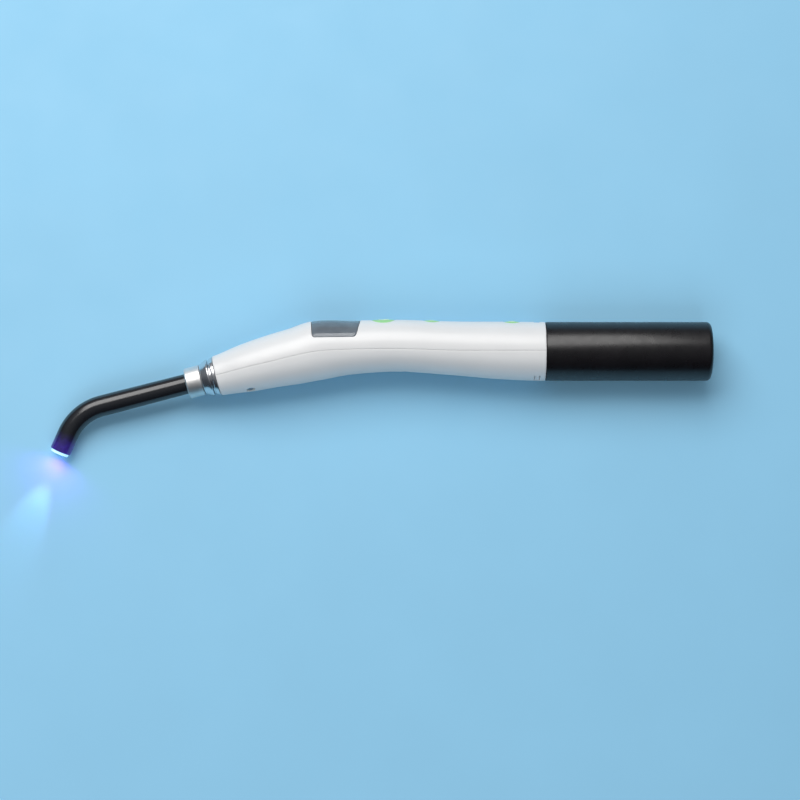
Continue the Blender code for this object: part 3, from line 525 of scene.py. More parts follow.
def build_shells():
    upper = shell_mesh("upper_shell_plain", True)
    surface = tree_of(upper)
    posts = [
        upright(MIDDLE_SCREW_X, 2.4 * MM, BOARD_TOP + 0.3 * MM, 12.6 * MM),
        nose_post(math.pi, 1.5 * MM, 7.15 * MM, 10.8 * MM, CRADLE_AT),
    ]
    cuts = [
        rim_cutter("display_cut", display_outline(0.0), Matrix.Identity(4), surface, LCD_LEDGE, RIM_EDGE),
        snap_window(SNAPS["top"], surface),
        upright(MIDDLE_SCREW_X, 1.1 * MM, 2 * MM, 10 * MM),
    ]
    for x, radius in BUTTONS.values():
        at = Matrix.Translation((x, 0, 0))
        cuts.append(round_hole(radius + BUTTON_CLEARANCE, at, surface, 6 * MM))
    mesh = combined(combined(upper, posts, "UNION"), cuts)
    piece("upper_housing", mesh, TOOL, "handpiece", ["upper_shell"], WHITE)

    lower = shell_mesh("lower_shell_plain", False)
    under = tree_of(lower)
    below = Matrix.Translation((MIDDLE_SCREW_X, 0, 0)) @ Matrix.Rotation(math.pi, 4, "X")
    bottom = handle_bottom(MIDDLE_SCREW_X) + WALL / 2
    posts = [upright(MIDDLE_SCREW_X, 3.0 * MM, bottom, BOARD_BOTTOM - GAP)]
    cuts = [
        round_hole(HEAD_HOLE, below, under, -MIDDLE_SEAT),
        upright(MIDDLE_SCREW_X, 1.1 * MM, MIDDLE_SEAT - 1 * MM, 4 * MM),
    ]
    for x in BOARD_SCREWS:
        posts.append(upright(x, 2.6 * MM, handle_bottom(x) + WALL / 2, BOARD_BOTTOM - GAP))
        cuts.append(upright(x, 0.95 * MM, BOARD_BOTTOM - 6.5 * MM, BOARD_BOTTOM))
    for side, label in ((-1, "near"), (1, "far")):
        angle = side * FRONT_SCREW_ANGLE
        posts.append(nose_post(angle, 2.6 * MM, 7.65 * MM, 9.8 * MM, FRONT_SCREW_AT))
        posts.append(nose_post(side * CRADLE_ANGLE, 1.5 * MM, 7.15 * MM, 10.5 * MM, CRADLE_AT))
        cuts.append(round_hole(HEAD_HOLE, nose_radial(angle, FRONT_SCREW_AT), under, 9.3 * MM, steps=48))
        cuts.append(nose_post(angle, 1.05 * MM, 7 * MM, 9.6 * MM, FRONT_SCREW_AT))
        cuts.append(snap_window(SNAPS[label], under))
    mesh = combined(combined(lower, posts, "UNION"), cuts)
    piece("lower_housing", mesh, TOOL, "handpiece", ["lower_shell"], WHITE)
    return surface


# -------------------- display and keys

def height_on(surface, x, y):
    """Height of the handle's outer surface above the tool's XY plane."""
    return surface.ray_cast(Vector((x, y, OUTSIDE)), Vector((0, 0, -1)))[0].z


def build_display(surface):
    """The window is a lens that follows the handle, sunk a little into its opening."""
    sunk, thickness, edge = 0.15 * MM, 1.0 * MM, 0.2 * MM
    middle = (LCD_FRONT + LCD_REAR) / 2

    def level(inset, scale, depth):
        outline = display_outline(WINDOW_GAP + inset)
        loop = []
        for x, y in outline:
            at = (middle + (x - middle) * scale, y * scale)
            loop.append(Vector((*at, height_on(surface, *at) - depth)))
        return loop

    top = [level(inset, 1.0, sunk + depth) for inset, depth in quarter(edge)]
    scales = (0.93, 0.84, 0.72, 0.58, 0.42, 0.25, 0.1)
    centre = Vector((middle, 0, height_on(surface, middle, 0)))
    top += [level(edge, scale, sunk) for scale in scales]
    top.append([centre - Vector((0, 0, sunk))])
    bottom = [[centre - Vector((0, 0, sunk + thickness))]]
    bottom += [level(0.0, scale, sunk + thickness) for scale in reversed(scales)]
    bottom.append(level(0.0, 1.0, sunk + thickness))
    mesh = skin("display_window", bottom + top)
    piece("display_lens", mesh, TOOL, "handpiece", ["display_window"], SMOKED)
    build_panel()


def build_panel():
    """The liquid crystal panel: its glass and the bars of two unlit figures."""
    low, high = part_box("display_panel")
    inverse = TOOL.inverted()
    length = abs((inverse @ low).x - (inverse @ high).x)
    width = 13.4 * MM
    thick = 1.9 * MM
    centre_z = 8.0 * MM
    glass = block("panel", (length - 0.1 * MM, width - 0.1 * MM, thick - 0.3 * MM), 0.15 * MM)
    place = TOOL @ Matrix.Translation((-91.0 * MM, 0, centre_z - 0.1 * MM))
    piece("lcd_panel", glass, place, "handpiece", ["display_panel"], LCD)
    bars = bmesh.new()
    bar_long, bar_wide, pitch = 2.9 * MM, 0.55 * MM, 5.2 * MM
    for figure in (-1, 1):
        for across, along, upright_bar in (
            (0, -1, True), (0, 0, True), (0, 1, True), (-0.5, -0.5, False),
            (-0.5, 0.5, False), (0.5, -0.5, False), (0.5, 0.5, False),
        ):
            size = (bar_wide, bar_long, 0.04 * MM) if upright_bar else (bar_long, bar_wide, 0.04 * MM)
            x = -along * (bar_long + 0.25 * MM)
            y = across * (bar_long + 0.55 * MM) + figure * pitch / 2
            bmesh.ops.translate(bars, vec=(x, y, thick / 2 - 0.08 * MM), verts=add_cube(bars, size))
    mesh = to_mesh("lcd_bars", bars)
    piece("lcd_bars", mesh, place, "handpiece", [], LCD_BARS)


def arc_line(radius, start, end, steps=28):
    angles = [math.radians(start + (end - start) * i / steps) for i in range(steps + 1)]
    return [(radius * math.cos(a), radius * math.sin(a)) for a in angles]


# Raised ridges on the keys: a broken ring with a bar, two bars, and a clock face with one hand
KEY_MARKS = {
    "power": [arc_line(1.9 * MM, 40, 320), in_mm((0.4, 0), (2.3, 0))],
    "mode": [in_mm((-0.9, -0.5), (0.9, -0.5)), in_mm((-0.9, 0.5), (0.9, 0.5))],
    "timer": [arc_line(1.3 * MM, 0, 350), in_mm((0, 0), (0.9, 0))],
}


def build_key(name, surface):
    """A keycap whose crown follows the handle's surface, on a flange that holds it in."""
    x, radius = BUTTONS[name]
    crown, rim_drop, edge = 0.15 * MM, 0.12 * MM, 0.3 * MM
    flange = handle_top(x) - 3.6 * MM

    def level(rho, depth):
        if rho == 0:
            return [Vector((0, 0, height_on(surface, x, 0) + depth))]
        return [p + Vector((0, 0, height_on(surface, x + p.x, p.y) + depth)) for p in circle(rho)]

    def swell(rho):
        return (crown + rim_drop) * (1 - (rho / radius) ** 2) - rim_drop

    loops = [level(radius * share, swell(radius * share)) for share in (0, 0.15, 0.3, 0.45, 0.6, 0.72, 0.82)]
    for depth, inward in quarter(edge, EDGE_STEPS + 1):
        rho = radius - inward
        loops.append(level(rho, swell(rho) - depth))
    loops += [
        circle(radius, flange),
        circle(radius + 0.7 * MM, flange),
        circle(radius + 0.7 * MM, flange - 0.8 * MM),
        circle(1.7 * MM, flange - 0.8 * MM),
        circle(1.7 * MM, PLUNGER_TOP),
        [Vector((0, 0, PLUNGER_TOP))],
    ]
    mesh = skin(name + "_key", loops)
    place = TOOL @ Matrix.Translation((x, 0, 0))
    body = name + "_key"
    piece(name + "_keycap", mesh, place, body, [name + "_button"], KEYPAD)
    plunger = turned(name, disc(1.6 * MM, PLUNGER_TOP - 1.5 * MM, PLUNGER_TOP - SEAT), 0.15 * MM, 48)
    piece(name + "_pusher", plunger, place, body, [name + "_plunger"], WHITE)

    def on_crown(line):
        made = []
        for u, v in line:
            height = height_on(surface, x + u, v) + swell(math.hypot(u, v))
            made.append(Vector((u, v, height)))
        return made

    for k, line in enumerate(KEY_MARKS[name]):
        ridge = tube("mark", on_crown(line), 0.13 * MM)
        piece("%s_mark_%d" % (name, k + 1), ridge, place, body, [], KEY_MARK)


def tube(name, points, radius, steps=10):
    """A round ridge or wire along the points, with domed ends."""
    loops = []
    last = len(points) - 1
    for i, point in enumerate(points):
        along = (points[min(i + 1, last)] - points[max(i - 1, 0)]).normalized()
        side = along.cross(Vector((0, 0, 1))).normalized()
        up = side.cross(along)

        def hoop(at, r):
            return [at + (side * math.cos(a) + up * math.sin(a)) * r for a in angles_round(steps)]

        if i == 0:
            loops += [[point - along * radius], hoop(point - along * radius * 0.6, radius * 0.75)]
        loops.append(hoop(point, radius))
        if i == last:
            loops += [hoop(point + along * radius * 0.6, radius * 0.75), [point + along * radius]]
    return skin(name, loops)


# -------------------- light guide

BEND_HALF = BEND_RADIUS * math.tan(GUIDE_BEND / 2)
GUIDE_STRAIGHT = GUIDE_REACH - BEND_HALF
GUIDE_LENGTH = GUIDE_STRAIGHT + BEND_RADIUS * GUIDE_BEND + TIP_LENGTH - BEND_HALF
NOSE_CENTRE = Vector((-HANDLE_LENGTH, 0, -NOSE_DROP))


def guide_place(s):
    """The guide's axis at a length s from the nose face: its point, direction and the bend's outer side."""
    bent = max(0.0, min(GUIDE_BEND, (s - GUIDE_STRAIGHT) / BEND_RADIUS))

    def direction(angle):
        return Vector((-math.cos(angle), 0, -math.sin(angle)))

    def outside(angle):
        return Vector((-math.sin(angle), 0, math.cos(angle)))

    point = NOSE_CENTRE + direction(NOSE_TILT) * min(s, GUIDE_STRAIGHT)
    angle = NOSE_TILT + bent
    if bent > 0:
        point += (outside(angle) - outside(NOSE_TILT)) * BEND_RADIUS
        point += direction(angle) * max(0.0, s - GUIDE_STRAIGHT - BEND_RADIUS * GUIDE_BEND)
    return point, direction(angle), outside(angle)


def jacket_radius(s):
    share = min(1.0, max(0.0, s / (GUIDE_REACH * 0.75)))
    return JACKET_RADIUS_NOSE + (JACKET_RADIUS_TIP - JACKET_RADIUS_NOSE) * share


def guide_loop(s, radius, steps=64):
    point, _, outside = guide_place(s)
    if radius == 0:
        return [point]
    side = Vector((0, 1, 0))
    return [point + (side * math.cos(a) + outside * math.sin(a)) * radius for a in angles_round(steps)]


def build_light_guide():
    start, edge, steps = FERRULE_REAR + 0.9 * MM, 0.22 * MM, 90
    along = [start + (GUIDE_LENGTH - edge - start) * i / steps for i in range(steps + 1)]
    loops = [guide_loop(s, jacket_radius(s)) for s in along]
    for inward, back in quarter(edge)[1:]:
        loops.append(guide_loop(GUIDE_LENGTH - back, JACKET_RADIUS_TIP - inward))
    loops += [guide_loop(s, jacket_radius(s) - JACKET_WALL) for s in [GUIDE_LENGTH, *reversed(along)]]
    jacket = skin("guide_jacket", loops, closed=True)
    piece("guide_sheath", jacket, TOOL, "light_guide", ["guide_jacket"], GUIDE_BLACK)

    inset = JACKET_WALL + ROD_GAP
    exit_radius = JACKET_RADIUS_TIP - inset
    start, chamfer = STEM_REAR + 0.2 * MM, 0.3 * MM
    end = GUIDE_LENGTH + ROD_PROUD
    along = [start + (end - chamfer - start) * i / 100 for i in range(101)]
    loops = [[guide_place(start)[0]]]
    loops += [guide_loop(s, jacket_radius(s) - inset) for s in along]
    for inward, back in quarter(chamfer, EDGE_STEPS + 1)[1:]:
        loops.append(guide_loop(end - back, exit_radius - inward))
    loops += [guide_loop(end, exit_radius * share) for share in (0.75, 0.5, 0.25)]
    loops.append([guide_place(end)[0]])
    piece("fibre_bundle", skin("fibre_rod", loops), TOOL, "light_guide", ["fibre_rod"], FIBRE)

    ferrule = [
        (6.2 * MM, FERRULE_FRONT), (6.65 * MM, FERRULE_FRONT - 0.45 * MM),
        (6.65 * MM, FERRULE_REAR + 0.25 * MM), (6.5 * MM, FERRULE_REAR), (4.6 * MM, FERRULE_REAR),
        (4.6 * MM, FERRULE_FRONT - 0.5 * MM), (5.0 * MM, FERRULE_FRONT),
    ]
    sleeve = turned("ferrule", ferrule, 0.12 * MM, 128)
    piece("front_sleeve", sleeve, NOSE, "light_guide", ["guide_ferrule"], SATIN)
    collar = in_mm(
        (6.45, 6.5), (6.7, 6.25), (6.85, 5.9), (7.45, 4.8), (7.9, 3.9),
        (8.15, 3.35), (8.2, 3.0), (8.0, 2.7), (5.4, 2.7), (5.4, 6.5),
    )
    cone = turned("collar", collar, 0.18 * MM, 128)
    piece("cone_collar", cone, NOSE, "light_guide", ["guide_collar"], STEEL)
    groove = 4.6 * MM
    stem = [
        (STEM_RADIUS, 6.45 * MM), (STEM_RADIUS, 2.0 * MM), (groove, 2.0 * MM), (groove, 0.6 * MM),
        (STEM_RADIUS, 0.6 * MM), (STEM_RADIUS, -2.7 * MM), (groove, -2.7 * MM), (groove, -3.7 * MM),
        (STEM_RADIUS, -3.7 * MM), (STEM_RADIUS, STEM_REAR), (3.8 * MM, STEM_REAR),
        (3.8 * MM, 6.45 * MM),
    ]
    piece("plug_stem", turned("stem", stem, 0.12 * MM), NOSE, "light_guide", ["guide_stem"], STEEL)
    middle, height, wide, high = 5.05 * MM, 1.3 * MM, 0.4 * MM, 0.42 * MM
    seal = [(middle + wide * math.cos(a), height + high * math.sin(a)) for a in angles_round(16)]
    piece("stem_seal", turned("seal", seal), NOSE, "light_guide", ["stem_o_ring"], RUBBER)


# -------------------- nose

def crossed_recess(radius, depth):
    """Two crossed blades that sink a cross into a screw's head, around the frame's origin."""
    blades = []
    for turn in (0, math.pi / 2):
        shape = bmesh.new()
        add_cube(shape, (radius * 1.5, radius * 0.32, 2 * depth))
        for vertex in shape.verts:
            if vertex.co.z < 0:
                vertex.co.x *= 0.55
                vertex.co.y *= 0.7
        blades.append((to_mesh("blade", shape), Matrix.Rotation(turn + 0.3, 4, "Z")))
    return blades


def screw_mesh(head, head_low, head_high, shank, tip):
    """A pan head screw along Z, with a cross recess and a threaded shank."""
    crown = head_high - head_low
    profile = [(0, head_high), (0.55 * head, head_high), (0.85 * head, head_high - 0.22 * crown),
               (head, head_high - 0.62 * crown), (head, head_low), (shank, head_low)]
    pitch = 0.45 * MM
    turns = int((head_low - tip) / pitch) - 1
    for i in range(turns):
        z = head_low - (i + 0.5) * pitch
        profile += [(shank, z), (shank * 0.82, z - pitch / 2)]
    profile += [(shank * 0.5, tip), (0, tip)]
    mesh = turned("screw", profile, steps=48)
    blades = crossed_recess(head, 0.5 * crown)
    lift = Matrix.Translation((0, 0, head_high))
    return combined(mesh, [(blade, lift @ turn) for blade, turn in blades])


def build_nose():
    profile = in_mm(
        (7.6, 2.4), (7.6, 1.85), (8.05, 1.75), (8.25, 1.5), (8.5, 0.25), (6.7, 0.25), (6.7, -4.0),
        (7.1, -4.0), (7.1, -5.2), (6.7, -5.2), (6.7, -11.0), (7.4, -11.0), (7.4, -14.5),
    ) + [
        (SOCKET_RADIUS, -14.5 * MM), (SOCKET_RADIUS, -3.8 * MM), (5.95 * MM, -3.8 * MM),
        (5.95 * MM, -2.6 * MM), (SOCKET_RADIUS, -2.6 * MM), (SOCKET_RADIUS, 2.4 * MM),
    ]
    body = turned("nose_ring", profile, 0.1 * MM, 128)
    holes = []
    for side, label in ((-1, "near"), (1, "far")):
        place = nose_radial(side * FRONT_SCREW_ANGLE, FRONT_SCREW_AT)
        hole = turned("hole", disc(1.05 * MM, 5.0 * MM, 9.0 * MM), steps=32, turn=CUT_TURN)
        holes.append((hole, NOSE_IN_TOOL.inverted() @ place))
        screw = screw_mesh(1.6 * MM, 9.35 * MM, 10.1 * MM, 0.8 * MM, 6.2 * MM)
        piece("nose_fixing_" + label, screw, TOOL @ place, "handpiece", ["nose_screw_" + label], DARK_STEEL)
    piece("nose_socket", combined(body, holes), NOSE, "handpiece", ["nose_ring"], STEEL)
    snap = turned("snap_ring", ring(5.42 * MM, 4.75 * MM, -3.55 * MM, -2.85 * MM), 0.1 * MM)
    piece("snap_ring", snap, NOSE, "guide_retainer", ["retaining_ring"], STEEL)

    head = MIDDLE_SEAT - SEAT
    screw = screw_mesh(1.6 * MM, -head, -head + 1.15 * MM, 0.85 * MM, -8.0 * MM)
    below = Matrix.Translation((MIDDLE_SCREW_X, 0, 0)) @ Matrix.Rotation(math.pi, 4, "X")
    piece("middle_fixing", screw, TOOL @ below, "handpiece", ["middle_screw"], DARK_STEEL)


# -------------------- battery joint and battery

def build_battery_joint():
    collar = turned("collar", ring(10.45 * MM, 9.55 * MM, -8.2 * MM, -0.8 * MM), 0.2 * MM)
    tongues = []
    inner, outer = 10.0 * MM, 12.5 * MM
    for angle in SNAPS.values():
        tongue = block("tongue", (2.0 * MM, 4.3 * MM, outer - inner), 0.25 * MM)
        place = TOOL @ snap_place(angle) @ Matrix.Translation((0, 0, (inner + outer) / 2))
        tongues.append((tongue, BATTERY.inverted() @ place))
    mesh = combined(collar, tongues, "UNION")
    piece("snap_collar", mesh, BATTERY, "handpiece", ["rear_collar"], WHITE)

    front, rear, lip = -10.0 * MM, -8.5 * MM, 0.6 * MM
    carrier = turned("contact_block", disc(10.3 * MM, front, rear), 0.3 * MM)
    bores = []
    for side, label in ((-1, "plus"), (1, "minus")):
        at = Matrix.Translation((0, side * 4.0 * MM, 0))
        wide = turned("bore", disc(1.75 * MM, front - 1 * MM, rear - lip), steps=40, turn=CUT_TURN)
        narrow = turned("bore", disc(1.15 * MM, rear - lip - 1 * MM, rear + 1 * MM), steps=40, turn=CUT_TURN)
        bores += [(wide, at), (narrow, at)]
        tip, shoulder = NECK_FRONT - 0.5 * MM, rear - lip - 0.2 * MM
        pin = [
            (0, tip), (0.35 * MM, tip - 0.06 * MM), (0.65 * MM, tip - 0.2 * MM),
            (0.9 * MM, tip - 0.55 * MM), (0.9 * MM, shoulder), (1.5 * MM, shoulder),
            (1.5 * MM, shoulder - 0.8 * MM), (0, shoulder - 0.8 * MM),
        ]
        pin_mesh = turned("pin", pin, 0.06 * MM, 48)
        piece("spring_pin_" + label, pin_mesh, BATTERY @ at, "pin_" + label, ["contact_pin_" + label], GOLD)
        pad = turned("pad", disc(2.0 * MM, NECK_FRONT - 0.4 * MM, NECK_FRONT - SEAT), 0.12 * MM, 64)
        piece("neck_pad_" + label, pad, BATTERY @ at, "battery_pack", ["battery_pad_" + label], GOLD)
    piece("pin_carrier", combined(carrier, bores), BATTERY, "handpiece", ["contact_block"], CHIP)


def build_battery():
    end, inner = BATTERY_LENGTH, 11.0 * MM
    end_round, wall = 1.9 * MM, 1.8 * MM
    profile = [(0, end), (BATTERY_RADIUS - end_round - 1.5 * MM, end)]
    profile += [(BATTERY_RADIUS - inward, end - back) for back, inward in quarter(end_round, 8)]
    profile += [
        (BATTERY_RADIUS, GAP + 0.3 * MM), (BATTERY_RADIUS - 0.09 * MM, GAP + 0.09 * MM),
        (BATTERY_RADIUS - 0.3 * MM, GAP), (inner, GAP), (inner, end - wall), (0, end - wall),
    ]
    body = turned("sleeve", profile, steps=160)
    sinks = []
    for side, label in ((-1, "plus"), (1, "minus")):
        at = Matrix.Translation((0, side * 4.5 * MM, 0))
        hole, flare = 2.2 * MM, 0.35 * MM
        sink = [(0, end + 1 * MM), (hole + flare, end + 1 * MM), (hole + flare, end + FINE)]
        sink += [(hole + out, end + FINE - back) for back, out in quarter(flare, 4)[1:]]
        sink += [(hole, end - 3 * MM), (0, end - 3 * MM)]
        sinks.append((turned("sink", sink, steps=64, turn=CUT_TURN), at))
        contact = [(0, end - 0.55 * MM), (1.2 * MM, end - 0.5 * MM), (1.7 * MM, end - 0.4 * MM),
                   (2.0 * MM, end - 0.6 * MM), (2.0 * MM, end - 1.5 * MM), (0, end - 1.5 * MM)]
        contact_mesh = turned("contact", contact, 0.1 * MM, 64)
        nodes = ["charge_contact_" + label]
        piece("charging_pad_" + label, contact_mesh, BATTERY @ at, "battery_pack", nodes, GOLD)
    piece("battery_barrel", combined(body, sinks), BATTERY, "battery_pack", ["battery_sleeve"], BLACK)

    neck_radius = 9.25 * MM
    neck = [
        (0, NECK_FRONT + 1.5 * MM), (7.9 * MM, NECK_FRONT + 1.5 * MM), (7.9 * MM, 4.0 * MM),
        (10.7 * MM, 4.0 * MM), (10.7 * MM, 2.2 * MM), (neck_radius, 2.2 * MM),
        (neck_radius, NECK_FRONT + 0.4 * MM), (neck_radius - 0.4 * MM, NECK_FRONT), (0, NECK_FRONT),
    ]
    piece("battery_spigot", turned("neck", neck, 0.15 * MM), BATTERY, "battery_pack", ["battery_neck"], BLACK)


# -------------------- materials

def add(tree, kind, inputs=None, **settings):
    """A node with its settings; an input takes a number, a colour or another node's output."""
    node = tree.nodes.new(kind)
    for key, value in settings.items():
        setattr(node, key, value)
    for socket, value in (inputs or {}).items():
        if isinstance(value, bpy.types.NodeSocket):
            tree.links.new(value, node.inputs[socket])
        else:
            node.inputs[socket].default_value = value
    return node


def noise(tree, size, vector, detail=3.0):
    """Noise whose features are about this large, from 0 to 1."""
    inputs = {"Vector": vector, "Scale": 1 / size, "Detail": detail}
    return add(tree, "ShaderNodeTexNoise", inputs).outputs["Fac"]


def remap(tree, value, low, high, to_low, to_high):
    inputs = {"Value": value, "From Min": low, "From Max": high, "To Min": to_low, "To Max": to_high}
    return add(tree, "ShaderNodeMapRange", inputs).outputs["Result"]


def ramp(tree, value, stops):
    node = add(tree, "ShaderNodeValToRGB", {"Fac": value})
    for element, (position, colour) in zip(node.color_ramp.elements, (stops[0], stops[-1])):
        element.position = position
        element.color = (*colour, 1.0)
    for position, colour in stops[1:-1]:
        node.color_ramp.elements.new(position).color = (*colour, 1.0)
    return node.outputs["Color"]


def math_node(tree, operation, first, second=0.0):
    node = add(tree, "ShaderNodeMath", operation=operation)
    for socket, value in zip(node.inputs, (first, second)):
        if isinstance(value, bpy.types.NodeSocket):
            tree.links.new(value, socket)
        else:
            socket.default_value = value
    return node.outputs[0]


def turning_lines(tree, coords, pitch):
    """Fine grooves left by a lathe. They follow the place along the nose axis and the distance from it."""
    back = NOSE.inverted()
    inputs = {"Vector": coords, "Location": back.translation, "Rotation": back.to_euler()}
    coords = add(tree, "ShaderNodeMapping", inputs).outputs["Vector"]
    flat = add(tree, "ShaderNodeVectorMath", {0: coords, 1: (1, 1, 0)}, operation="MULTIPLY").outputs[0]
    radius = add(tree, "ShaderNodeVectorMath", {0: flat}, operation="LENGTH").outputs["Value"]
    height = add(tree, "ShaderNodeSeparateXYZ", {"Vector": coords}).outputs["Z"]
    along = math_node(tree, "ADD", radius, height)
    inputs = {"W": along, "Scale": 1 / pitch, "Detail": 2.0}
    return add(tree, "ShaderNodeTexNoise", inputs, noise_dimensions="1D").outputs["Fac"]


def finish(slot, colour, roughness, metallic=0.0, tone=0.06, patch=7 * MM, wear=0.05, grain=0.3 * MM,
           depth=0.003 * MM, lathe=0.0, name=None, **sockets):
    """A surface whose colour drifts by tone over patches, whose gloss drifts by wear, and which has a fine
    grain of this size and depth, or a lathe's grooves of this pitch."""
    mat = bpy.data.materials.new(name or slot)
    mat.use_nodes = True
    mat["slot"] = slot
    tree = mat.node_tree
    shader = tree.nodes["Principled BSDF"]
    shader.inputs["Metallic"].default_value = metallic
    for socket, value in sockets.items():
        shader.inputs[socket.replace("_", " ")].default_value = value
    coords = add(tree, "ShaderNodeTexCoord").outputs["Object"]
    drift = noise(tree, patch, coords)
    dark, light = ([min(1.0, c * k) for c in colour] for k in (1 - tone, 1 + tone))
    tree.links.new(ramp(tree, drift, [(0.3, dark), (0.7, light)]), shader.inputs["Base Color"])
    smudge = noise(tree, patch * 0.4, coords, 6.0)
    gloss = remap(tree, smudge, 0.3, 0.7, max(0.0, roughness - wear), roughness + wear)
    tree.links.new(gloss, shader.inputs["Roughness"])
    height = turning_lines(tree, coords, lathe) if lathe else noise(tree, grain, coords, 2.0)
    bump = add(tree, "ShaderNodeBump", {"Strength": 1.0, "Distance": depth, "Height": height})
    tree.links.new(bump.outputs["Normal"], shader.inputs["Normal"])
    return mat


def distance_from(tree, coords, point):
    inputs = {0: coords, 1: point}
    return add(tree, "ShaderNodeVectorMath", inputs, operation="DISTANCE").outputs["Value"]


def guide_material(exit_point):
    """Gloss black coating, with a painted blue glow (emission) on it close to the exit."""
    mat = finish("guide_black", (0.009, 0.010, 0.013), 0.17, patch=5 * MM, wear=0.05, grain=1.5 * MM,
                 depth=0.006 * MM, Specular_IOR_Level=0.75)
    tree = mat.node_tree
    shader = tree.nodes["Principled BSDF"]
    coords = add(tree, "ShaderNodeTexCoord").outputs["Object"]
    # Painted glow: the black jacket emits violet-blue light near the exit, standing in for the tip's spilled
    # light; no lamp lights it
    near = remap(tree, distance_from(tree, coords, exit_point), GLOW_REACH, 3.5 * MM, 0.0, 1.0)
    painted_glow_streaks = remap(tree, noise(tree, 2.5 * MM, coords), 0.35, 0.65, 0.5, 1.0)
    painted_glow = math_node(tree, "MULTIPLY", math_node(tree, "POWER", near, 2.0), painted_glow_streaks)
    strength = math_node(tree, "MULTIPLY", painted_glow, 0.45)
    shader.inputs["Emission Color"].default_value = (0.13, 0.05, 1.0, 1.0)
    tree.links.new(strength, shader.inputs["Emission Strength"])
    return mat


def fibre_material(exit_point):
    """Fused glass fibres. Each fibre's end shows, and the lit end face glows."""
    mat = finish("fibre_glass", (0.62, 0.82, 0.95), 0.08, tone=0.1, patch=1 * MM, wear=0.04, Coat_Weight=0.5)
    tree = mat.node_tree
    shader = tree.nodes["Principled BSDF"]
    coords = add(tree, "ShaderNodeTexCoord").outputs["Object"]
    inputs = {"Vector": coords, "Scale": 1 / (0.35 * MM)}
    cells = add(tree, "ShaderNodeTexVoronoi", inputs).outputs["Distance"]
    fibres = remap(tree, cells, 0.0, 0.7, 1.0, 0.72)
    drift = remap(tree, noise(tree, 2.5 * MM, coords), 0.3, 0.7, 0.75, 1.1)
    near = remap(tree, distance_from(tree, coords, exit_point), 7.0 * MM, 3.8 * MM, 0.0, 1.0)
    glow = math_node(tree, "MULTIPLY", math_node(tree, "MULTIPLY", fibres, drift), near)
    shader.inputs["Emission Color"].default_value = (0.42, 0.82, 1.0, 1.0)
    tree.links.new(math_node(tree, "MULTIPLY", glow, 1.15), shader.inputs["Emission Strength"])
    return mat


EXIT_POINT = TOOL @ guide_place(GUIDE_LENGTH + ROD_PROUD)[0]

WHITE = finish("white_housing", (0.80, 0.80, 0.80), 0.34, tone=0.012, patch=14 * MM, wear=0.05,
               grain=0.22 * MM, depth=0.0022 * MM, Coat_Weight=0.15, Coat_Roughness=0.2)
BLACK = finish("black_housing", (0.005, 0.004, 0.005), 0.3, tone=0.2, patch=9 * MM, wear=0.05,
               grain=0.25 * MM, depth=0.003 * MM)
GUIDE_BLACK = guide_material(EXIT_POINT)
FIBRE = fibre_material(EXIT_POINT)
SATIN = finish("satin_aluminium", (0.84, 0.83, 0.82), 0.5, 1.0, 0.04, 3 * MM, 0.05, depth=0.004 * MM,
               lathe=0.12 * MM)
STEEL = finish("polished_steel", (0.78, 0.78, 0.80), 0.22, 1.0, 0.04, 9 * MM, 0.02, depth=0.0005 * MM,
               lathe=0.2 * MM)
DARK_STEEL = finish("polished_steel", (0.45, 0.46, 0.48), 0.3, 1.0, 0.15, 0.8 * MM, 0.1, depth=0.002 * MM,
                    name="blackened_steel")
SMOKED = finish("smoked_window", (0.16, 0.19, 0.22), 0.12, tone=0.1, patch=5 * MM, wear=0.03,
                depth=0.0005 * MM, Alpha=0.8, Coat_Weight=0.5, Coat_Roughness=0.04)
LCD = finish("lcd_glass", (0.36, 0.42, 0.40), 0.25, tone=0.08, patch=4 * MM, wear=0.06)
LCD_BARS = finish("lcd_glass", (0.16, 0.19, 0.19), 0.3, tone=0.1, patch=1 * MM, name="lcd_bars")
KEYPAD = finish("keypad_green", (0.36, 0.72, 0.28), 0.42, tone=0.06, patch=2 * MM, wear=0.06,
                grain=0.15 * MM, depth=0.004 * MM)
KEY_MARK = finish("keypad_green", (0.75, 0.88, 0.68), 0.4, tone=0.05, patch=1 * MM, name="key_mark")
BOARD = finish("circuit_board", (0.015, 0.16, 0.06), 0.4, tone=0.35, patch=1.2 * MM, wear=0.1,
               grain=0.6 * MM, depth=0.02 * MM)
CHIP = finish("chip_plastic", (0.03, 0.03, 0.032), 0.55, tone=0.15, patch=2 * MM,
              grain=0.12 * MM, depth=0.005 * MM)
RUBBER = finish("seal_rubber", (0.02, 0.02, 0.022), 0.7, tone=0.2, patch=1 * MM,
                grain=0.1 * MM, depth=0.006 * MM)
GOLD = finish("contact_gold", (0.92, 0.66, 0.27), 0.22, 1.0, 0.06, 1 * MM, 0.06, depth=0.002 * MM)
CERAMIC = finish("led_ceramic", (0.88, 0.80, 0.38), 0.5, tone=0.08, patch=0.8 * MM, grain=0.1 * MM)
WRAP = finish("cell_wrap", (0.04, 0.17, 0.5), 0.3, tone=0.1, patch=12 * MM, wear=0.08,
              grain=2 * MM, depth=0.02 * MM)
RED = finish("wire_red", (0.55, 0.03, 0.03), 0.45, tone=0.1, patch=1 * MM)
FOAM = finish("foam", (0.16, 0.16, 0.17), 0.9, tone=0.3, patch=0.5 * MM, grain=0.3 * MM, depth=0.08 * MM)

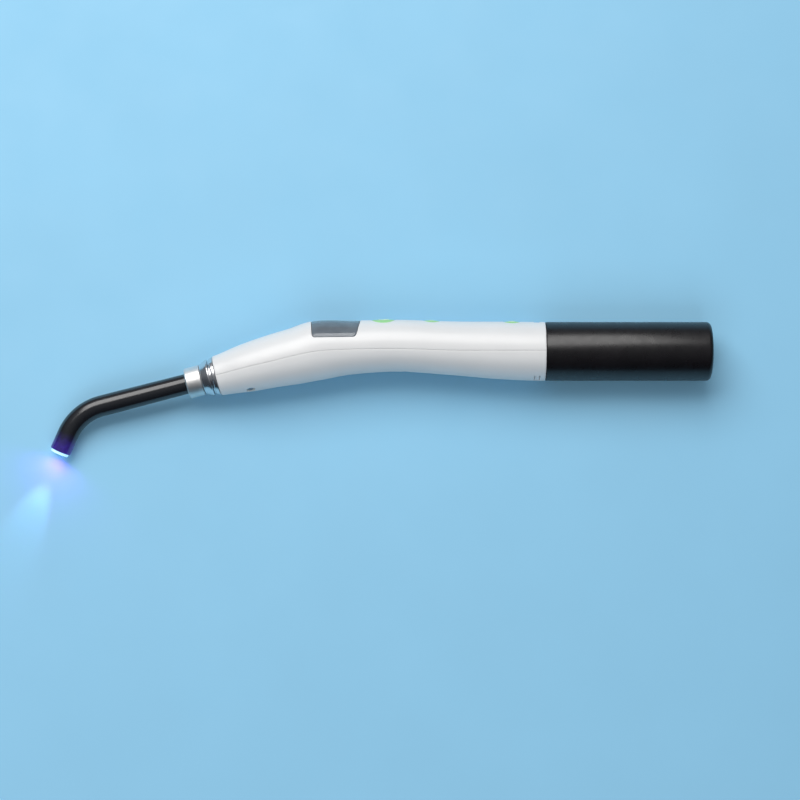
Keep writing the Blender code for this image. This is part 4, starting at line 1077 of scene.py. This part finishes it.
# CAD nodes that stay, hidden inside the handle and the battery
KEPT_NODES = {
    SATIN: ["led_board", "heat_sink"],
    STEEL: ["led_reflector", "led_screw_near", "led_screw_far", "board_screw_1", "board_screw_2"],
    FIBRE: ["entry_window", "led_dome"],
    CERAMIC: ["led_emitter"],
    BOARD: ["main_board", "protection_board"],
    CHIP: [
        "display_frame", "controller_chip", "driver_coil", "buzzer", "led_wire_far",
        "power_switch", "mode_switch", "timer_switch", "cell_holder",
    ],
    RED: ["led_wire_near"],
    WRAP: ["battery_cell"],
    FOAM: ["foam_pad"],
}


def finish_kept_nodes():
    for mat, names in KEPT_NODES.items():
        for name in names:
            node = frame["nodes"][name]
            node.data.materials.clear()
            node.data.materials.append(mat)


# -------------------- floor, light and camera

CAMERA_ELEVATION = math.radians(81)
CAMERA_DISTANCE = 0.967
AIM_BACK = 63.0 * MM  # the aim point lies this far in front of the battery joint
AIM_DOWN = 21.15 * MM  # and this far below it in the view


def build_floor():
    size, cells = 8.0, 8
    shape = bmesh.new()
    bmesh.ops.create_grid(shape, x_segments=cells, y_segments=cells, size=size / 2)
    mesh = bpy.data.meshes.new("floor")
    shape.to_mesh(mesh)
    shape.free()
    floor = linked("floor", mesh)
    mesh.materials.append(FLOOR)


FLOOR = finish("floor", (0.285, 0.61, 0.85), 0.6, tone=0.015, patch=60 * MM, wear=0.05, grain=0.8 * MM,
               depth=0.004 * MM, name="floor_card")


def aim(obj, target):
    obj.rotation_euler = (Vector(target) - obj.location).to_track_quat("-Z", "Y").to_euler()


def light(name, kind, location, target, energy, colour, **settings):
    data = bpy.data.lights.new(name, kind)
    data.energy = energy
    data.color = colour
    for key, value in settings.items():
        setattr(data, key, value)
    obj = linked(name, data)
    obj.location = location
    aim(obj, target)
    return obj


def build_lights():
    elevation, distance = math.radians(56), 1.1
    middle = Vector((-0.02, 0, 0.01))
    towards = Vector((-0.22, math.cos(elevation), math.sin(elevation))).normalized()
    light("key_softbox", "AREA", middle + towards * distance, middle, 10.6, (1.0, 0.99, 0.975),
          shape="RECTANGLE", size=1.0, size_y=0.8)
    fill = light("fill_softbox", "AREA", (-0.1, -1.0, 1.1), middle, 6.5, (0.96, 0.98, 1.0),
                 shape="RECTANGLE", size=1.2, size_y=0.8)
    fill.visible_glossy = False

    start = TOOL @ guide_place(GUIDE_LENGTH + ROD_PROUD + 0.4 * MM)[0]
    beam = (TOOL.to_3x3() @ guide_place(GUIDE_LENGTH)[1]).normalized()
    ahead = start + beam * 31 * MM
    below = Vector((ahead.x, ahead.y, 0))
    for name, energy, colour, width, blend, soft in (
        ("beam", 0.045, (0.3, 0.95, 1.0), 15, 0.8, 1 * MM),
        ("beam_fringe", 0.022, (1.0, 0.05, 0.6), 18, 0.8, 1 * MM),
        ("beam_halo", 0.02, (0.4, 0.05, 1.0), 160, 1.0, 3 * MM),
    ):
        spot = light(name, "SPOT", start, below, energy, colour, spot_size=math.radians(width),
                     spot_blend=blend, shadow_soft_size=soft)
        spot.scale.x = BEAM_SPREAD
        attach(spot, "light_guide")


def build_world():
    """A soft room: pale overhead and behind the tool, dimmer towards the camera and the horizon."""
    world = bpy.data.worlds.new("studio")
    world.use_nodes = True
    bpy.context.scene.world = world
    tree = world.node_tree
    background = tree.nodes["Background"]
    coords = add(tree, "ShaderNodeTexCoord").outputs["Generated"]
    lean = add(tree, "ShaderNodeVectorMath", {0: coords, 1: (0.0, 0.55, 0.83)}, operation="DOT_PRODUCT")
    share = remap(tree, lean.outputs["Value"], -0.4, 1.0, 0.0, 1.0)
    stops = [(0.0, (0.03, 0.035, 0.045)), (0.45, (0.14, 0.16, 0.19)), (1.0, (0.8, 0.83, 0.87))]
    tree.links.new(ramp(tree, share, stops), background.inputs["Color"])
    background.inputs["Strength"].default_value = 0.42


def build_camera():
    """The view from above the tool's near side, tilted a little towards it."""
    data = bpy.data.cameras.new("camera")
    data.lens = 100
    data.sensor_width = 36
    data.clip_start = 0.01
    camera = bpy.data.objects.new("camera", data)
    bpy.context.scene.collection.objects.link(camera)
    sight = Vector((0, math.cos(CAMERA_ELEVATION), -math.sin(CAMERA_ELEVATION)))
    up = Vector((0, math.sin(CAMERA_ELEVATION), math.cos(CAMERA_ELEVATION)))
    target = TOOL.translation - Vector((AIM_BACK, 0, 0)) - up * AIM_DOWN
    camera.location = target - sight * CAMERA_DISTANCE
    aim(camera, target)
    bpy.context.scene.camera = camera


def build():
    surface = build_shells()
    build_display(surface)
    for name in BUTTONS:
        build_key(name, surface)
    build_light_guide()
    build_nose()
    build_battery_joint()
    build_battery()
    finish_kept_nodes()
    build_floor()
    build_lights()
    build_world()
    build_camera()
    bpy.context.scene.view_settings.view_transform = "Standard"


build()
